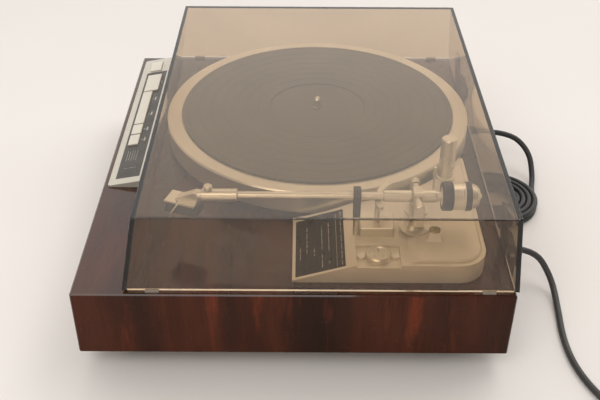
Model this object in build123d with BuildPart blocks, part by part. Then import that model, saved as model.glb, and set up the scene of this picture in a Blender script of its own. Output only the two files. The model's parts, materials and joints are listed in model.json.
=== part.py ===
from build123d import *
import math
import os

# A direct-drive record player: a glossy wooden plinth on four feet, a wedge of push buttons
# along its front, a platter, a straight tonearm on a cast base, and a hinged tinted cover.
# Millimetres. +X is the player's right, -Y its front, +Z up. The origin is on the surface that
# the feet stand on, under the middle of the player's outline (cords left out).

# ---- plinth and feet
plinth_h = 69.3
plinth_bevel = 1.2
plinth_wall = 20.0
deck_t = 20.0
foot_h = 22.0
foot_r = 26.0
foot_inset_x = 48.0
foot_inset_y = 46.0
foot_pad_r = 23.0
foot_pad_h = 6.0
foot_pad_show = 2.0
foot_stud_r = 4.0
bottom_t = 6.0
bottom_ledge = 8.0
vent_from_left = 120.0
vent_from_middle = 60.0
hole_gap = 0.15
seat_gap = 0.05
run_gap = 0.05

# ---- hinges of the cover
hinge_back = 9.0
hinge_knuckle_r = 5.5
hinge_pin_r = 2.5
hinge_w = 30.0
hinge_ear_t = 4.5
hinge_leaf_gap = 0.3
hinge_leaf_t = 3.0
hinge_leaf_h = 38.0
hinge_body_h = 46.0
hinge_drop = 7.0
hinge_from_side = 72.0
hinge_axis_rise = 1.5

# ---- cover
cover_lift = 3.0
cover_h = 72.2
cover_wall = 3.2
cover_corner = 5.0
cover_edge = 1.2
buffer_w = 2.6
cover_side_inset = 2.4
cover_front_back = 45.7
cover_rear_out = 1.8
draft_side = 8.2
draft_front = 13.3
draft_rear = 5.8
buffer_l = 12.0

# ---- control wedge at the front
panel_d = 35.0
panel_from_left = 13.4
panel_from_front = 5.0
panel_front_h = 1.4
panel_rear_h = 8.0
panel_corner = 3.0
inset_w = 231.0
inset_d = 25.0
inset_from_right = 10.0
inset_from_front = 6.5
inset_t = 1.6
button_gap = 0.35
button_rise = 1.3
button_cap_t = 4.0
button_travel = 1.5
button_stem_r = 2.0
switch_rest = 0.3
slot_margin = 2.0
power_from_left = 10.0
power_from_front = 10.0
power_l = 22.5
power_d = 13.5
power_to_inset = 2.5
button_from_inset = 9.0
button_from_front = 9.5
button_space = 2.5
button_d = 11.0
start_l = 39.5
start_d = 17.0
lift_l = 73.0
speed_l = 19.5
lens_l = 7.0
lens_d = 1.8
lens_from_front = 26.3

# ---- platter and motor
platter_to_left = 18.6
platter_to_right = 110.2
platter_to_front = 55.6
platter_to_rear = 8.4
platter_r = 162.0
platter_top = 29.0
platter_base = 4.7
platter_web = 6.0
platter_rim_t = 15.0
platter_edge = 1.5
platter_rim_w = 16.4
mat_t = 3.0
mat_sink = 0.5
label_r = 51.0
platter_hub_r = 20.0
spindle_r = 3.6
spindle_rise = 11.5
spindle_nose = 3.0
spindle_shoulder = 0.4
shaft_r = 5.0
shaft_l = 62.0
motor_hole_r = 52.0
motor_flange_r = 68.0
motor_flange_t = 3.0
bearing_r = 12.0
bearing_l = 50.0
stator_r = 44.0
stator_t = 9.0
stator_slots = 12
magnet_gap = 1.0
magnet_t = 9.0
magnet_h = 12.0

# ---- arm base casting
base_from_rear = 23.2
base_l = 172.0
base_from_right = 19.0
base_far_from_right = 188.4
base_h = 19.3
base_toe = 2.0
base_ramp_l = 56.0
base_plateau = 3.2
base_plateau_l = 69.0
base_plateau_run = 8.0
base_step = 4.0
base_corner = 26.0
base_small_corner = 3.0
base_edge = 1.2
platter_margin = 4.0
plate_l = 46.0
plate_w = 81.0
plate_t = 0.8
plate_edge = 3.0
dial_r = 11.2
dial_h = 5.5
dial_from_pivot = 35.5
dial_out = 37.5
dial_pocket_l = 39.0
dial_pocket_w = 28.0
dial_pocket_depth = 2.6
dial_screw_reach = 15.3
dial_stud_r = 3.0
dial_stud_l = 8.0
spigot_l = 4.0

# ---- tonearm
pivot_from_right = 70.9
pivot_from_rear = 84.0
arm_rise = 54.5
tube_r = 3.5
hub_front = 30.5
hub_r = 5.5
hub_block_l = 8.0
hub_block_w = 15.0
hub_block_h = 14.0
barrel_r = 6.0
washer_t = 1.5
washer_gap = 0.3
stub_r = 4.0
stub_end = 47.0
collar_r = 5.85
head_to_front = 111.5
collar_l = 32.5
lock_r = 4.1
lock_h = 4.2
lock_back = 6.0
head_offset = 20.0
neck_l = 5.0
neck_r = 4.2
shell_w = 18.0
shell_l = 30.0
shell_t = 1.8
shell_drop = 7.4
fairing_w = 8.4
cartridge_w = 15.5
cartridge_h = 10.8
stylus_drop = 21.6
finger_r = 0.8
weight_front = 21.5
weight_l = 34.0
weight_nub_r = 2.2
weight_nub_l = 1.6
weight_r = 12.4
weight_band_r = 13.1
weight_dial_l = 9.0
weight_band_l = 5.4
weight_cap_l = 8.4
weight_travel = 3.0
washer_end = weight_front - weight_travel - washer_gap
barrel_end = washer_end - washer_t
yoke_reach = 18.0
yoke_ear_t = 3.0
yoke_ear_w = 9.0
yoke_base_h = 14.5
yoke_disc_r = 10.5
yoke_disc_t = 3.0
yoke_shaft_r = 3.0
yoke_shaft_l = 30.0
cap_r = 4.8
cap_l = 3.6
axle_r = 1.6
cross_r = 3.4
tube_wall = 0.8
tube_in_hub = 12.0
lock_stem_r = 1.5
pillar_top_r = 5.5
pillar_foot_r = 14.0
pillar_shank_r = 9.0
pillar_shank_l = 40.0
yoke_gap = 0.5

# ---- arm rest, lift and the posts behind the arm
rest_ahead = 54.0
rest_post_r = 2.9
rest_out = 6.5
rest_clip_w = 6.6
rest_gap = 0.3
rest_hook = 9.6
rest_clip_drop = 17.0
lift_ahead = 35.0
lift_stem_r = 2.5
lift_travel = 5.0
lift_bar_w = 5.0
lift_bar_t = 3.5
lift_block_l = 31.0
lift_block_w = 22.0
lift_block_h = 9.5
lift_sweep_out = 20.0
lift_sweep_in = 50.0
lift_bore = 12.0
cue_out = 17.0
cue_behind = 15.5
cue_foot_w = 10.0
cue_foot_l = 14.0
cue_foot_h = 8.0
cue_foot_taper = 20.0
cue_slot_play = 2.8
cue_cap_r = 5.2
cue_cap_t = 1.6
cue_neck_r = 1.6
cue_axle_r = 0.8
cue_axle_l = 7.0
cue_pivot_rise = 2.0
cue_tilt = 10.0
post_r = 7.5
post_h = 47.5
post_spigot_r = 3.0
post_from_rim = 12.8
post_bearing = 45.37
bias_r = 1.2
bias_h = 37.5
bias_sleeve_r = 1.7
bias_sleeve_h = 9.0
bias_from_pivot = (-39.5, 20.5)

# ---- one screw, used all over
screw_r = 2.0
screw_l = 16.0
screw_head_r = 3.6
screw_head_h = 2.4

# transformer and circuit board inside the plinth
core_from_wall = 60.0
core_from_front = 50.0
core_w = 56.0
core_d = 48.0
core_h = 36.0
core_edge = 1.5
tab_l = 6.0
tab_t = 2.0
winding_w = 36.0
winding_d = 64.0
winding_h = 22.0
board_drop = 14.0
board_t = 1.6
circuit_from_left = 25.0
circuit_from_front = 40.0
circuit_w = 140.0
circuit_d = 100.0
circuit_stand = 8.0
standoff_inset = 7.0
standoff_r = 3.0
cooler_inset = 8.0
cooler_t = 12.0
cooler_l = 68.0
cooler_h = 22.4
capacitor_r = 8.0
capacitor_space = 28.0
capacitor_out = 6.0
component_h = 6.0
chip_out = 40.0
chip_space = 36.0
chip_l = 26.0
chip_w = 10.0

# ---- cords
mains_r = 3.25
mains_relief_l = 30.0
mains_relief_r = 7.0
mains_exit_x = -128.0
mains_exit_z = 44.0
mains_coil_mid_r = 34.0
mains_coil_w = 26.0
mains_coil_h = 13.0
mains_coil_at = (-39.0, 224.5)
plug_l = 34.0
plug_w = 22.0
plug_t = 16.0
plug_blade_l = 17.0
plug_blade_t = 1.5
plug_blade_w = 6.4
plug_blade_gap = 12.7
lead_r = 3.2
lead_relief_l = 24.0
lead_relief_r = 5.6
lead_exit_x = 92.0
lead_exit_z = 38.0
lead_coil_mid_r = 34.0
lead_coil_w = 12.8
lead_coil_h = 12.8
lead_coil_at = (330.0, 262.0)
jack_r = 5.4
jack_l = 24.0

# ---- places worked out from the sizes
mat_r = platter_r - platter_rim_w
plinth_w = platter_to_left + 2 * platter_r + platter_to_right
plinth_d = platter_to_front + 2 * platter_r + platter_to_rear
hinge_out = hinge_back + hinge_knuckle_r
front_y = -(plinth_d + hinge_out) / 2
rear_y = front_y + plinth_d
right_x = plinth_w / 2
left_x = -right_x
plinth_y = (front_y + rear_y) / 2
deck_z = foot_h + plinth_h
platter_x = right_x - platter_to_right - platter_r
platter_y = rear_y - platter_to_rear - platter_r
pivot_x = right_x - pivot_from_right
pivot_y = rear_y - pivot_from_rear
collar_front = pivot_y - front_y - head_to_front
arm_z = deck_z + arm_rise
plateau_z = deck_z + base_h + base_plateau
platform_z = deck_z + base_h
bay_w = plinth_w - 2 * plinth_wall
bay_d = plinth_d - 2 * plinth_wall
foot_spots = [
    (sx * (right_x - foot_inset_x), plinth_y + sy * (plinth_d / 2 - foot_inset_y))
    for sx in (-1, 1)
    for sy in (-1, 1)
]
hinge_y = rear_y + hinge_back
hinge_z = deck_z + hinge_axis_rise
hinge_xs = [side * (right_x - hinge_from_side) for side in (-1, 1)]
cover_y0 = front_y + cover_front_back
cover_y1 = rear_y + cover_rear_out
cover_x = right_x - cover_side_inset
cover_z = deck_z + cover_lift
panel_x0 = left_x + panel_from_left
panel_y0 = front_y + panel_from_front
panel_slope = math.atan2(panel_rear_h - panel_front_h, panel_d)
inset_from_left = power_from_left + power_l + power_to_inset
inset_x0 = panel_x0 + inset_from_left
panel_w = inset_from_left + inset_w + inset_from_right
start_from_left = inset_from_left + button_from_inset
lift_from_left = start_from_left + start_l + button_space
speed_33_from_left = lift_from_left + lift_l + button_space
speed_45_from_left = speed_33_from_left + speed_l + button_space
# each button: name, distance of its left edge from the wedge's left edge, length, front edge, depth
buttons = [
    ("power_button", power_from_left, power_l, power_from_front, power_d),
    ("start_button", start_from_left, start_l, button_from_front, start_d),
    ("lift_button", lift_from_left, lift_l, button_from_front, button_d),
    ("speed_33_button", speed_33_from_left, speed_l, button_from_front, button_d),
    ("speed_45_button", speed_45_from_left, speed_l, button_from_front, button_d),
]
lens_spots = [
    lift_from_left + 0.24 * lift_l, lift_from_left + 0.71 * lift_l,
    speed_33_from_left + speed_l / 2, speed_45_from_left + speed_l / 2,
]
power_lens_spot = (power_from_left + power_l / 2, lens_from_front)
slot_x0 = panel_x0 + buttons[0][1] - slot_margin
slot_x1 = inset_x0 + inset_w - 4
slot_y0 = panel_y0 + buttons[1][3] - slot_margin
slot_y1 = panel_y0 + buttons[1][3] + buttons[1][4] + slot_margin / 2
base_x1 = right_x - base_from_right
base_x0 = right_x - base_far_from_right
base_y1 = rear_y - base_from_rear
base_y0 = base_y1 - base_l
ramp_slope = math.atan2(base_h - base_toe, base_ramp_l)
base_plateau_from = base_l - base_plateau_l
mat_top = platter_top + mat_t - mat_sink
dial_x = pivot_x + dial_out
dial_y = pivot_y - dial_from_pivot
dial_floor = platform_z - dial_pocket_depth
lift_x = pivot_x
lift_y = pivot_y - lift_ahead
bar_top = arm_z - tube_r - rest_gap
post_x = platter_x + (platter_r + post_from_rim) * math.cos(math.radians(post_bearing))
post_y = platter_y + (platter_r + post_from_rim) * math.sin(math.radians(post_bearing))
cue_x = pivot_x + cue_out
cue_y = pivot_y + cue_behind


def level(z):
    """A flat sketching plane at height z."""
    return Plane.XY.offset(z)


def box_at(x0, x1, y0, y1, z0, z1, mode=Mode.ADD):
    """A block between the given limits, added to the part being built."""
    middle = ((x0 + x1) / 2, (y0 + y1) / 2, (z0 + z1) / 2)
    with Locations(middle):
        Box(x1 - x0, y1 - y0, z1 - z0, mode=mode)


def half_section(x, y, points):
    """Upright half section of something turned about the upright line through (x, y):
    points are (radius, height)."""
    with BuildSketch(Plane((x, y, 0), x_dir=(1, 0, 0), z_dir=(0, -1, 0))) as sketch:
        with BuildLine():
            Polyline(*points, close=True)
        make_face()
    return sketch.sketch


def upright(x, y):
    return Axis((x, y, 0), (0, 0, 1))


arm_axis = Axis((pivot_x, pivot_y, arm_z), (0, 1, 0))
cross_axis = Axis((pivot_x, pivot_y, arm_z), (1, 0, 0))


def arm_section(points):
    """Half section of something turned about the arm's long axis:
    points are (distance behind the pivot, radius)."""
    plane = Plane((pivot_x, pivot_y, arm_z), x_dir=(0, 1, 0), z_dir=(1, 0, 0))
    with BuildSketch(plane) as sketch:
        with BuildLine():
            Polyline(*points, close=True)
        make_face()
    return sketch.sketch


def cross_section(points):
    """Half section turned about the arm's cross axle: points are (distance right, radius)."""
    plane = Plane((pivot_x, pivot_y, arm_z), x_dir=(1, 0, 0), z_dir=(0, -1, 0))
    with BuildSketch(plane) as sketch:
        with BuildLine():
            Polyline(*points, close=True)
        make_face()
    return sketch.sketch


# slanted working planes of the control wedge and of the arm base's ramp
panel_plane = Plane(
    (panel_x0, panel_y0, deck_z + panel_front_h),
    x_dir=(1, 0, 0),
    z_dir=(0, -math.sin(panel_slope), math.cos(panel_slope)),
)
ramp_plane = Plane(
    (base_x1, base_y0, deck_z + base_toe),
    x_dir=(1, 0, 0),
    z_dir=(0, -math.sin(ramp_slope), math.cos(ramp_slope)),
)

# ---- where the screws go: (place of the underside of the head, direction of the shank)
bottom_screw_spots = [
    (sx * (bay_w / 2 + bottom_ledge / 2), plinth_y + fy * bay_d / 2)
    for sx in (-1, 1)
    for fy in (-0.8, 0.0, 0.8)
]
motor_screw_spots = [
    (
        platter_x + (motor_hole_r + motor_flange_r) / 2 * math.cos(math.radians(a)),
        platter_y + (motor_hole_r + motor_flange_r) / 2 * math.sin(math.radians(a)),
    )
    for a in (45, 165, 285)
]
base_screw_spots = [
    (base_x1 - 38, base_y0 + 66),
    (base_x1 - 20, base_y1 - 20),
    (base_x0 + 32, base_y1 - 9),
]
base_screw_web = 10.0
hinge_screw_web = 6.0
hinge_screw_zs = [hinge_z - hinge_drop - hinge_body_h * f for f in (0.25, 0.75)]
dial_screw_spots = [(dial_x, dial_y - dial_screw_reach), (dial_x, dial_y + dial_screw_reach)]

# =====================================================================================
# plinth: a wooden box with a thick deck, open below
with BuildPart() as plinth:
    box_at(left_x, right_x, front_y, rear_y, foot_h, deck_z)
    chamfer(plinth.edges(), plinth_bevel)
    box_at(
        -bay_w / 2, bay_w / 2, plinth_y - bay_d / 2, plinth_y + bay_d / 2,
        foot_h, deck_z - deck_t, mode=Mode.SUBTRACT,
    )
    box_at(
        -bay_w / 2 - bottom_ledge, bay_w / 2 + bottom_ledge,
        plinth_y - bay_d / 2 - bottom_ledge, plinth_y + bay_d / 2 + bottom_ledge,
        foot_h, foot_h + bottom_t, mode=Mode.SUBTRACT,
    )
    with BuildSketch(level(deck_z)):
        with Locations((platter_x, platter_y)):
            Circle(motor_hole_r)
        with Locations((pivot_x, pivot_y)):
            Circle(pillar_shank_r + 4)
    extrude(amount=-deck_t, mode=Mode.SUBTRACT)
    box_at(slot_x0, slot_x1, slot_y0, slot_y1, deck_z - deck_t, deck_z, mode=Mode.SUBTRACT)
    with BuildSketch(level(foot_h)):
        with Locations(*bottom_screw_spots):
            Circle(screw_r + seat_gap)
    extrude(amount=screw_l + 1, mode=Mode.SUBTRACT)
    with BuildSketch(level(deck_z)):
        with Locations(*motor_screw_spots):
            Circle(screw_r + seat_gap)
    extrude(amount=-(screw_l - motor_flange_t + 1), mode=Mode.SUBTRACT)
    with BuildSketch(level(deck_z)):
        with Locations(*base_screw_spots):
            Circle(screw_r + seat_gap)
    extrude(amount=-base_screw_web, mode=Mode.SUBTRACT)
    with BuildSketch(level(deck_z - base_screw_web)):
        with Locations(*base_screw_spots):
            Circle(screw_head_r + 1)
    extrude(amount=base_screw_web - deck_t, mode=Mode.SUBTRACT)
    for x in hinge_xs:
        for z in hinge_screw_zs:
            with Locations(Plane((x, rear_y, z), z_dir=(0, 1, 0)).location):
                Cylinder(
                    screw_r + seat_gap, screw_l - hinge_screw_web + 1,
                    align=(Align.CENTER, Align.CENTER, Align.MAX), mode=Mode.SUBTRACT,
                )
    for x, z, r in ((mains_exit_x, mains_exit_z, mains_r), (lead_exit_x, lead_exit_z, lead_r)):
        with Locations(Plane((x, rear_y, z), z_dir=(0, 1, 0)).location):
            Cylinder(
                r + 1, plinth_wall, align=(Align.CENTER, Align.CENTER, Align.MAX),
                mode=Mode.SUBTRACT,
            )

with BuildPart() as bottom_cover:
    ledge_x = bay_w / 2 + bottom_ledge - hole_gap
    ledge_y = bay_d / 2 + bottom_ledge - hole_gap
    box_at(-ledge_x, ledge_x, plinth_y - ledge_y, plinth_y + ledge_y, foot_h, foot_h + bottom_t)
    with BuildSketch(level(foot_h)):
        with Locations(*bottom_screw_spots):
            Circle(screw_r + hole_gap)
        with Locations(*foot_spots):
            Circle(foot_stud_r + seat_gap)
        with Locations((left_x + vent_from_left, plinth_y + vent_from_middle)):
            with GridLocations(14, 0, 7, 1):
                SlotOverall(60, 5, rotation=90)
    extrude(amount=bottom_t, mode=Mode.SUBTRACT)

with BuildPart() as feet:
    with BuildSketch(level(foot_pad_show)):
        with Locations(*foot_spots):
            Circle(foot_r)
    extrude(amount=9)
    with BuildSketch(level(foot_pad_show + 9)):
        with Locations(*foot_spots):
            Circle(foot_r - 3)
    extrude(amount=2)
    with BuildSketch(level(foot_pad_show + 11)):
        with Locations(*foot_spots):
            Circle(foot_r - 1)
    extrude(amount=foot_h - foot_pad_show - 11)
    with BuildSketch(level(foot_h)):
        with Locations(*foot_spots):
            Circle(foot_stud_r)
    extrude(amount=bottom_t)
    with BuildSketch(level(foot_pad_show)):
        with Locations(*foot_spots):
            Circle(foot_pad_r + seat_gap)
    extrude(amount=foot_pad_h - foot_pad_show, mode=Mode.SUBTRACT)

with BuildPart() as foot_pads:
    with BuildSketch(level(0)):
        with Locations(*foot_spots):
            Circle(foot_pad_r)
    extrude(amount=foot_pad_h)

# =====================================================================================
# control wedge
lens_recess = 0.6


def lens_rectangles():
    """The four indicator windows beside the buttons, on the wedge's face."""
    with BuildSketch(panel_plane) as sketch:
        with Locations(*[(x, lens_from_front) for x in lens_spots]):
            Rectangle(lens_l, lens_d)
    return sketch.sketch


def button_rectangle(spot, clearance):
    name, x, length, y, depth = spot
    with BuildSketch(panel_plane) as sketch:
        with Locations((x + length / 2, y + depth / 2)):
            Rectangle(length + 2 * clearance, depth + 2 * clearance)
    return sketch.sketch


inset_centre = (inset_x0 - panel_x0 + inset_w / 2, inset_from_front + inset_d / 2)
with BuildPart() as panel_frame:
    with BuildSketch(Plane.YZ.offset(panel_x0)):
        with BuildLine():
            Polyline(
                (panel_y0, deck_z),
                (panel_y0 + panel_d, deck_z),
                (panel_y0 + panel_d, deck_z + panel_rear_h),
                (panel_y0, deck_z + panel_front_h),
                close=True,
            )
        make_face()
    extrude(amount=panel_w)
    fillet(panel_frame.edges().filter_by(Axis.Z), panel_corner)
    with BuildSketch(panel_plane):
        with Locations(inset_centre):
            Rectangle(inset_w + 2 * seat_gap, inset_d + 2 * seat_gap)
    extrude(amount=-inset_t, mode=Mode.SUBTRACT)
    box_at(
        inset_x0 + 3, inset_x0 + inset_w - 3,
        slot_y0, slot_y1, deck_z - 1, deck_z + panel_rear_h, mode=Mode.SUBTRACT,
    )
    extrude(button_rectangle(buttons[0], button_gap), amount=-3 * panel_rear_h, mode=Mode.SUBTRACT)
    with BuildSketch(panel_plane):
        with Locations(power_lens_spot):
            Circle(1.1)
    extrude(amount=-lens_recess, mode=Mode.SUBTRACT)

with BuildPart() as panel_inset:
    with BuildSketch(panel_plane):
        with Locations(inset_centre):
            Rectangle(inset_w, inset_d)
    extrude(amount=-inset_t)
    for spot in buttons[1:]:
        extrude(button_rectangle(spot, button_gap), amount=-inset_t, mode=Mode.SUBTRACT)
    extrude(lens_rectangles(), amount=-lens_recess, mode=Mode.SUBTRACT)

with BuildPart() as indicator_lenses:
    extrude(lens_rectangles(), amount=-lens_recess)
    with BuildSketch(panel_plane):
        with Locations(power_lens_spot):
            Circle(1.1)
    extrude(amount=-lens_recess)

board_z = deck_z - board_drop
button_parts = {}
stem_spots = []
for spot in buttons:
    name, x, length, y, depth = spot
    stem_x = panel_x0 + x + length / 2
    stem_y = panel_y0 + (y + depth / 2) * math.cos(panel_slope)
    stem_top = deck_z + panel_front_h + (y + depth / 2) * math.sin(panel_slope)
    stem_spots.append((stem_x, stem_y))
    with BuildPart() as button:
        extrude(button_rectangle(spot, 0), amount=button_rise)
        chamfer(button.faces().sort_by(Axis.Z)[-1].edges(), 0.5)
        extrude(button_rectangle(spot, 0), amount=-(button_cap_t - button_rise))
        stem_low = board_z + board_t + 4.0 + button_travel + switch_rest
        with BuildSketch(level(stem_low)):
            with Locations((stem_x, stem_y)):
                Circle(button_stem_r)
        extrude(amount=stem_top - 1 - stem_low)
    button.part.label = name
    button_parts[name] = button.part

with BuildPart() as switch_board:
    box_at(
        slot_x0 + 1, slot_x1 - 1, slot_y0 + hole_gap, slot_y1 - hole_gap,
        board_z, board_z + board_t,
    )
    with BuildSketch(level(board_z + board_t)):
        with Locations(*stem_spots):
            Rectangle(6.5, 6.5)
    extrude(amount=3)
    with BuildSketch(level(board_z + board_t + 3)):
        with Locations(*stem_spots):
            Circle(1.8)
    extrude(amount=1)

# =====================================================================================
# motor, platter and mat
with BuildPart() as motor_base:
    floor = deck_z - bearing_l
    revolve(
        half_section(platter_x, platter_y, [
            (0, floor), (bearing_r, floor), (bearing_r, deck_z - 8),
            (motor_hole_r - hole_gap, deck_z - 8), (motor_hole_r - hole_gap, deck_z),
            (motor_flange_r, deck_z), (motor_flange_r, deck_z + motor_flange_t),
            (bearing_r, deck_z + motor_flange_t), (bearing_r, deck_z + 14), (0, deck_z + 14),
        ]),
        axis=upright(platter_x, platter_y),
    )
    with BuildSketch(level(deck_z + 14)):
        with Locations((platter_x, platter_y)):
            Circle(shaft_r + run_gap)
    extrude(amount=-(14 + bearing_l - 4), mode=Mode.SUBTRACT)
    with BuildSketch(level(deck_z + motor_flange_t)):
        with Locations(*motor_screw_spots):
            Circle(screw_r + hole_gap)
    extrude(amount=-motor_flange_t, mode=Mode.SUBTRACT)

with BuildPart() as stator:
    with BuildSketch(level(deck_z + motor_flange_t)):
        with Locations((platter_x, platter_y)):
            Circle(stator_r)
            Circle(bearing_r + seat_gap, mode=Mode.SUBTRACT)
            with PolarLocations((stator_r + bearing_r) / 2 + 8, stator_slots):
                Rectangle(stator_r - bearing_r, 3.0, mode=Mode.SUBTRACT)
    extrude(amount=stator_t)

with BuildPart() as spindle:
    shaft_low = deck_z + platter_top - platter_web - 3 - shaft_l
    top = deck_z + mat_top + spindle_rise
    revolve(
        half_section(platter_x, platter_y, [
            (0, shaft_low), (shaft_r, shaft_low), (shaft_r, deck_z + platter_top - 1),
            (spindle_r + spindle_shoulder, deck_z + platter_top),
            (spindle_r + spindle_shoulder, deck_z + mat_top - 0.4),
            (spindle_r, deck_z + mat_top), (spindle_r, top - spindle_nose),
            (spindle_r - 1.6, top - 0.4), (spindle_r - 2.2, top), (0, top),
        ]),
        axis=upright(platter_x, platter_y),
    )

with BuildPart() as platter:
    low = deck_z + platter_base
    high = deck_z + platter_top
    web = high - platter_web
    revolve(
        half_section(platter_x, platter_y, [
            (shaft_r + seat_gap, web - 9), (platter_hub_r, web - 9), (platter_hub_r, web),
            (platter_r - platter_rim_t, web), (platter_r - platter_rim_t, low),
            (platter_r - platter_edge, low), (platter_r, low + platter_edge),
            (platter_r, high - platter_edge), (platter_r - platter_edge, high),
            (mat_r + 1.2, high), (mat_r + 0.4, high - mat_sink),
            (shaft_r + seat_gap, high - mat_sink),
        ]),
        axis=upright(platter_x, platter_y),
    )

with BuildPart() as rotor_magnet:
    inner = stator_r + magnet_gap
    with BuildSketch(level(web)):
        with Locations((platter_x, platter_y)):
            Circle(inner + magnet_t)
            Circle(inner, mode=Mode.SUBTRACT)
    extrude(amount=-magnet_h)

with BuildPart() as mat:
    mat_low = deck_z + platter_top - mat_sink
    revolve(
        half_section(platter_x, platter_y, [
            (shaft_r + 0.4, mat_low), (mat_r, mat_low), (mat_r, mat_low + mat_t - 0.6),
            (mat_r - 0.6, mat_low + mat_t), (label_r + 1, mat_low + mat_t),
            (label_r, mat_low + mat_t - 0.8), (shaft_r + 0.4, mat_low + mat_t - 0.8),
        ]),
        axis=upright(platter_x, platter_y),
    )

# =====================================================================================
# electronics inside the plinth
with BuildPart() as transformer:
    tx = right_x - plinth_wall - core_from_wall
    ty = front_y + plinth_wall + core_from_front
    tz = foot_h + bottom_t
    box_at(tx - core_w / 2 - tab_l, tx + core_w / 2 + tab_l, ty - core_d / 2, ty + core_d / 2, tz, tz + tab_t)
    box_at(tx - core_w / 2, tx + core_w / 2, ty - core_d / 2, ty + core_d / 2, tz + tab_t, tz + core_h)
    box_at(
        tx - winding_w / 2, tx + winding_w / 2, ty - winding_d / 2, ty + winding_d / 2,
        tz + (core_h - winding_h) / 2, tz + (core_h + winding_h) / 2,
    )
    fillet(transformer.edges().filter_by(Axis.Z), core_edge)

with BuildPart() as main_board:
    bx = left_x + plinth_wall + circuit_from_left + circuit_w / 2
    by = front_y + plinth_wall + circuit_from_front + circuit_d / 2
    bz = foot_h + bottom_t
    top = bz + circuit_stand + board_t
    box_at(
        bx - circuit_w / 2, bx + circuit_w / 2, by - circuit_d / 2, by + circuit_d / 2,
        bz + circuit_stand, top,
    )
    with BuildSketch(level(bz)):
        with Locations((bx, by)):
            with GridLocations(circuit_w - 2 * standoff_inset, circuit_d - 2 * standoff_inset, 2, 2):
                Circle(standoff_r)
    extrude(amount=circuit_stand)
    box_at(
        bx - circuit_w / 2 + cooler_inset, bx - circuit_w / 2 + cooler_inset + cooler_t,
        by - cooler_l / 2, by + cooler_l / 2, top, top + cooler_h,
    )
    with BuildSketch(level(top)):
        with Locations((bx - capacitor_out, by - capacitor_out)):
            with GridLocations(capacitor_space, capacitor_space, 2, 2):
                Circle(capacitor_r)
        with Locations((bx + chip_out, by)):
            with GridLocations(0, chip_space, 1, 2):
                Rectangle(chip_l, chip_w)
    extrude(amount=component_h)

# =====================================================================================
# arm base casting and what is bolted to it


def base_outline(inset, front):
    """The casting's outline, `inset` inside its edge and starting `front` behind its toe."""
    x0, x1 = base_x0 + inset, base_x1 - inset
    y0, y1 = base_y0 + front, base_y1 - inset
    with BuildSketch(level(deck_z)) as sketch:
        with Locations(((x0 + x1) / 2, (y0 + y1) / 2)):
            Rectangle(x1 - x0, y1 - y0)
        rear = sketch.vertices().group_by(Axis.Y)[-1].sort_by(Axis.X)
        fillet(rear[-1], base_corner - inset)
        with Locations((platter_x, platter_y)):
            Circle(platter_r + platter_margin + inset, mode=Mode.SUBTRACT)
    return sketch.sketch


def side_section(points):
    """A shape seen from the right, (Y, Z) points, on the middle plane."""
    with BuildSketch(Plane.YZ) as sketch:
        with BuildLine():
            Polyline(*points, close=True)
        make_face()
    return sketch.sketch


with BuildPart() as arm_base:
    extrude(base_outline(0, 0), amount=base_h)
    extrude(base_outline(base_step, base_plateau_from), amount=base_h + base_plateau)
    # the ramp at the toe and the slanted front of the plateau
    ramp_end = base_y0 + base_ramp_l
    above = plateau_z + 5
    rise_y = base_y0 + base_plateau_from
    extrude(
        side_section([
            (base_y0 - 1, deck_z + base_toe - math.tan(ramp_slope)), (ramp_end, platform_z),
            (ramp_end, above), (base_y0 - 1, above),
        ]),
        amount=plinth_w, both=True, mode=Mode.SUBTRACT,
    )
    extrude(
        side_section([
            (rise_y - 1, platform_z), (rise_y, platform_z),
            (rise_y + base_plateau_run, plateau_z), (rise_y + base_plateau_run, above),
            (rise_y - 1, above),
        ]),
        amount=plinth_w, both=True, mode=Mode.SUBTRACT,
    )
    chamfer(arm_base.faces().sort_by(Axis.Z)[-1].edges(), base_edge)
    # pocket of the round dial, open at the right
    box_at(
        dial_x - dial_pocket_w / 2, base_x1 + 1,
        dial_y - dial_pocket_l / 2, dial_y + dial_pocket_l / 2,
        dial_floor, above, mode=Mode.SUBTRACT,
    )
    with BuildSketch(level(dial_floor)):
        with Locations((dial_x, dial_y)):
            Circle(dial_stud_r + run_gap)
    extrude(amount=-dial_stud_l - 1, mode=Mode.SUBTRACT)
    with BuildSketch(level(dial_floor)):
        with Locations(*dial_screw_spots):
            Circle(screw_r + seat_gap)
    extrude(amount=-screw_l - 0.3, mode=Mode.SUBTRACT)
    # seat of the plate on the ramp
    with BuildSketch(ramp_plane):
        with Locations((-plate_edge - plate_w / 2, plate_edge + plate_l / 2)):
            Rectangle(plate_w + 2 * seat_gap, plate_l + 2 * seat_gap)
    extrude(amount=-plate_t, mode=Mode.SUBTRACT)
    # bores: arm pillar, lift stem, posts and the screws from below
    with BuildSketch(level(deck_z)):
        with Locations((pivot_x, pivot_y)):
            Circle(pillar_shank_r + seat_gap)
    extrude(amount=base_h + base_plateau, mode=Mode.SUBTRACT)
    with BuildSketch(level(platform_z)):
        with Locations((lift_x, lift_y)):
            Circle(lift_stem_r + run_gap)
    extrude(amount=-lift_bore, mode=Mode.SUBTRACT)
    for spot, radius, top in (
        ((pivot_x + rest_out, pivot_y - rest_ahead), rest_post_r, platform_z),
        ((post_x, post_y), post_spigot_r, plateau_z),
        ((pivot_x + bias_from_pivot[0], pivot_y + bias_from_pivot[1]), bias_r, plateau_z),
    ):
        with BuildSketch(level(top)):
            with Locations(spot):
                Circle(radius + seat_gap)
        extrude(amount=-spigot_l, mode=Mode.SUBTRACT)
    with BuildSketch(level(deck_z)):
        with Locations(*base_screw_spots):
            Circle(screw_r + seat_gap)
    extrude(amount=screw_l - base_screw_web + 1, mode=Mode.SUBTRACT)

with BuildPart() as info_plate:
    with BuildSketch(ramp_plane):
        with Locations((-plate_edge - plate_w / 2, plate_edge + plate_l / 2)):
            RectangleRounded(plate_w, plate_l, 1)
    extrude(amount=-plate_t)

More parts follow.
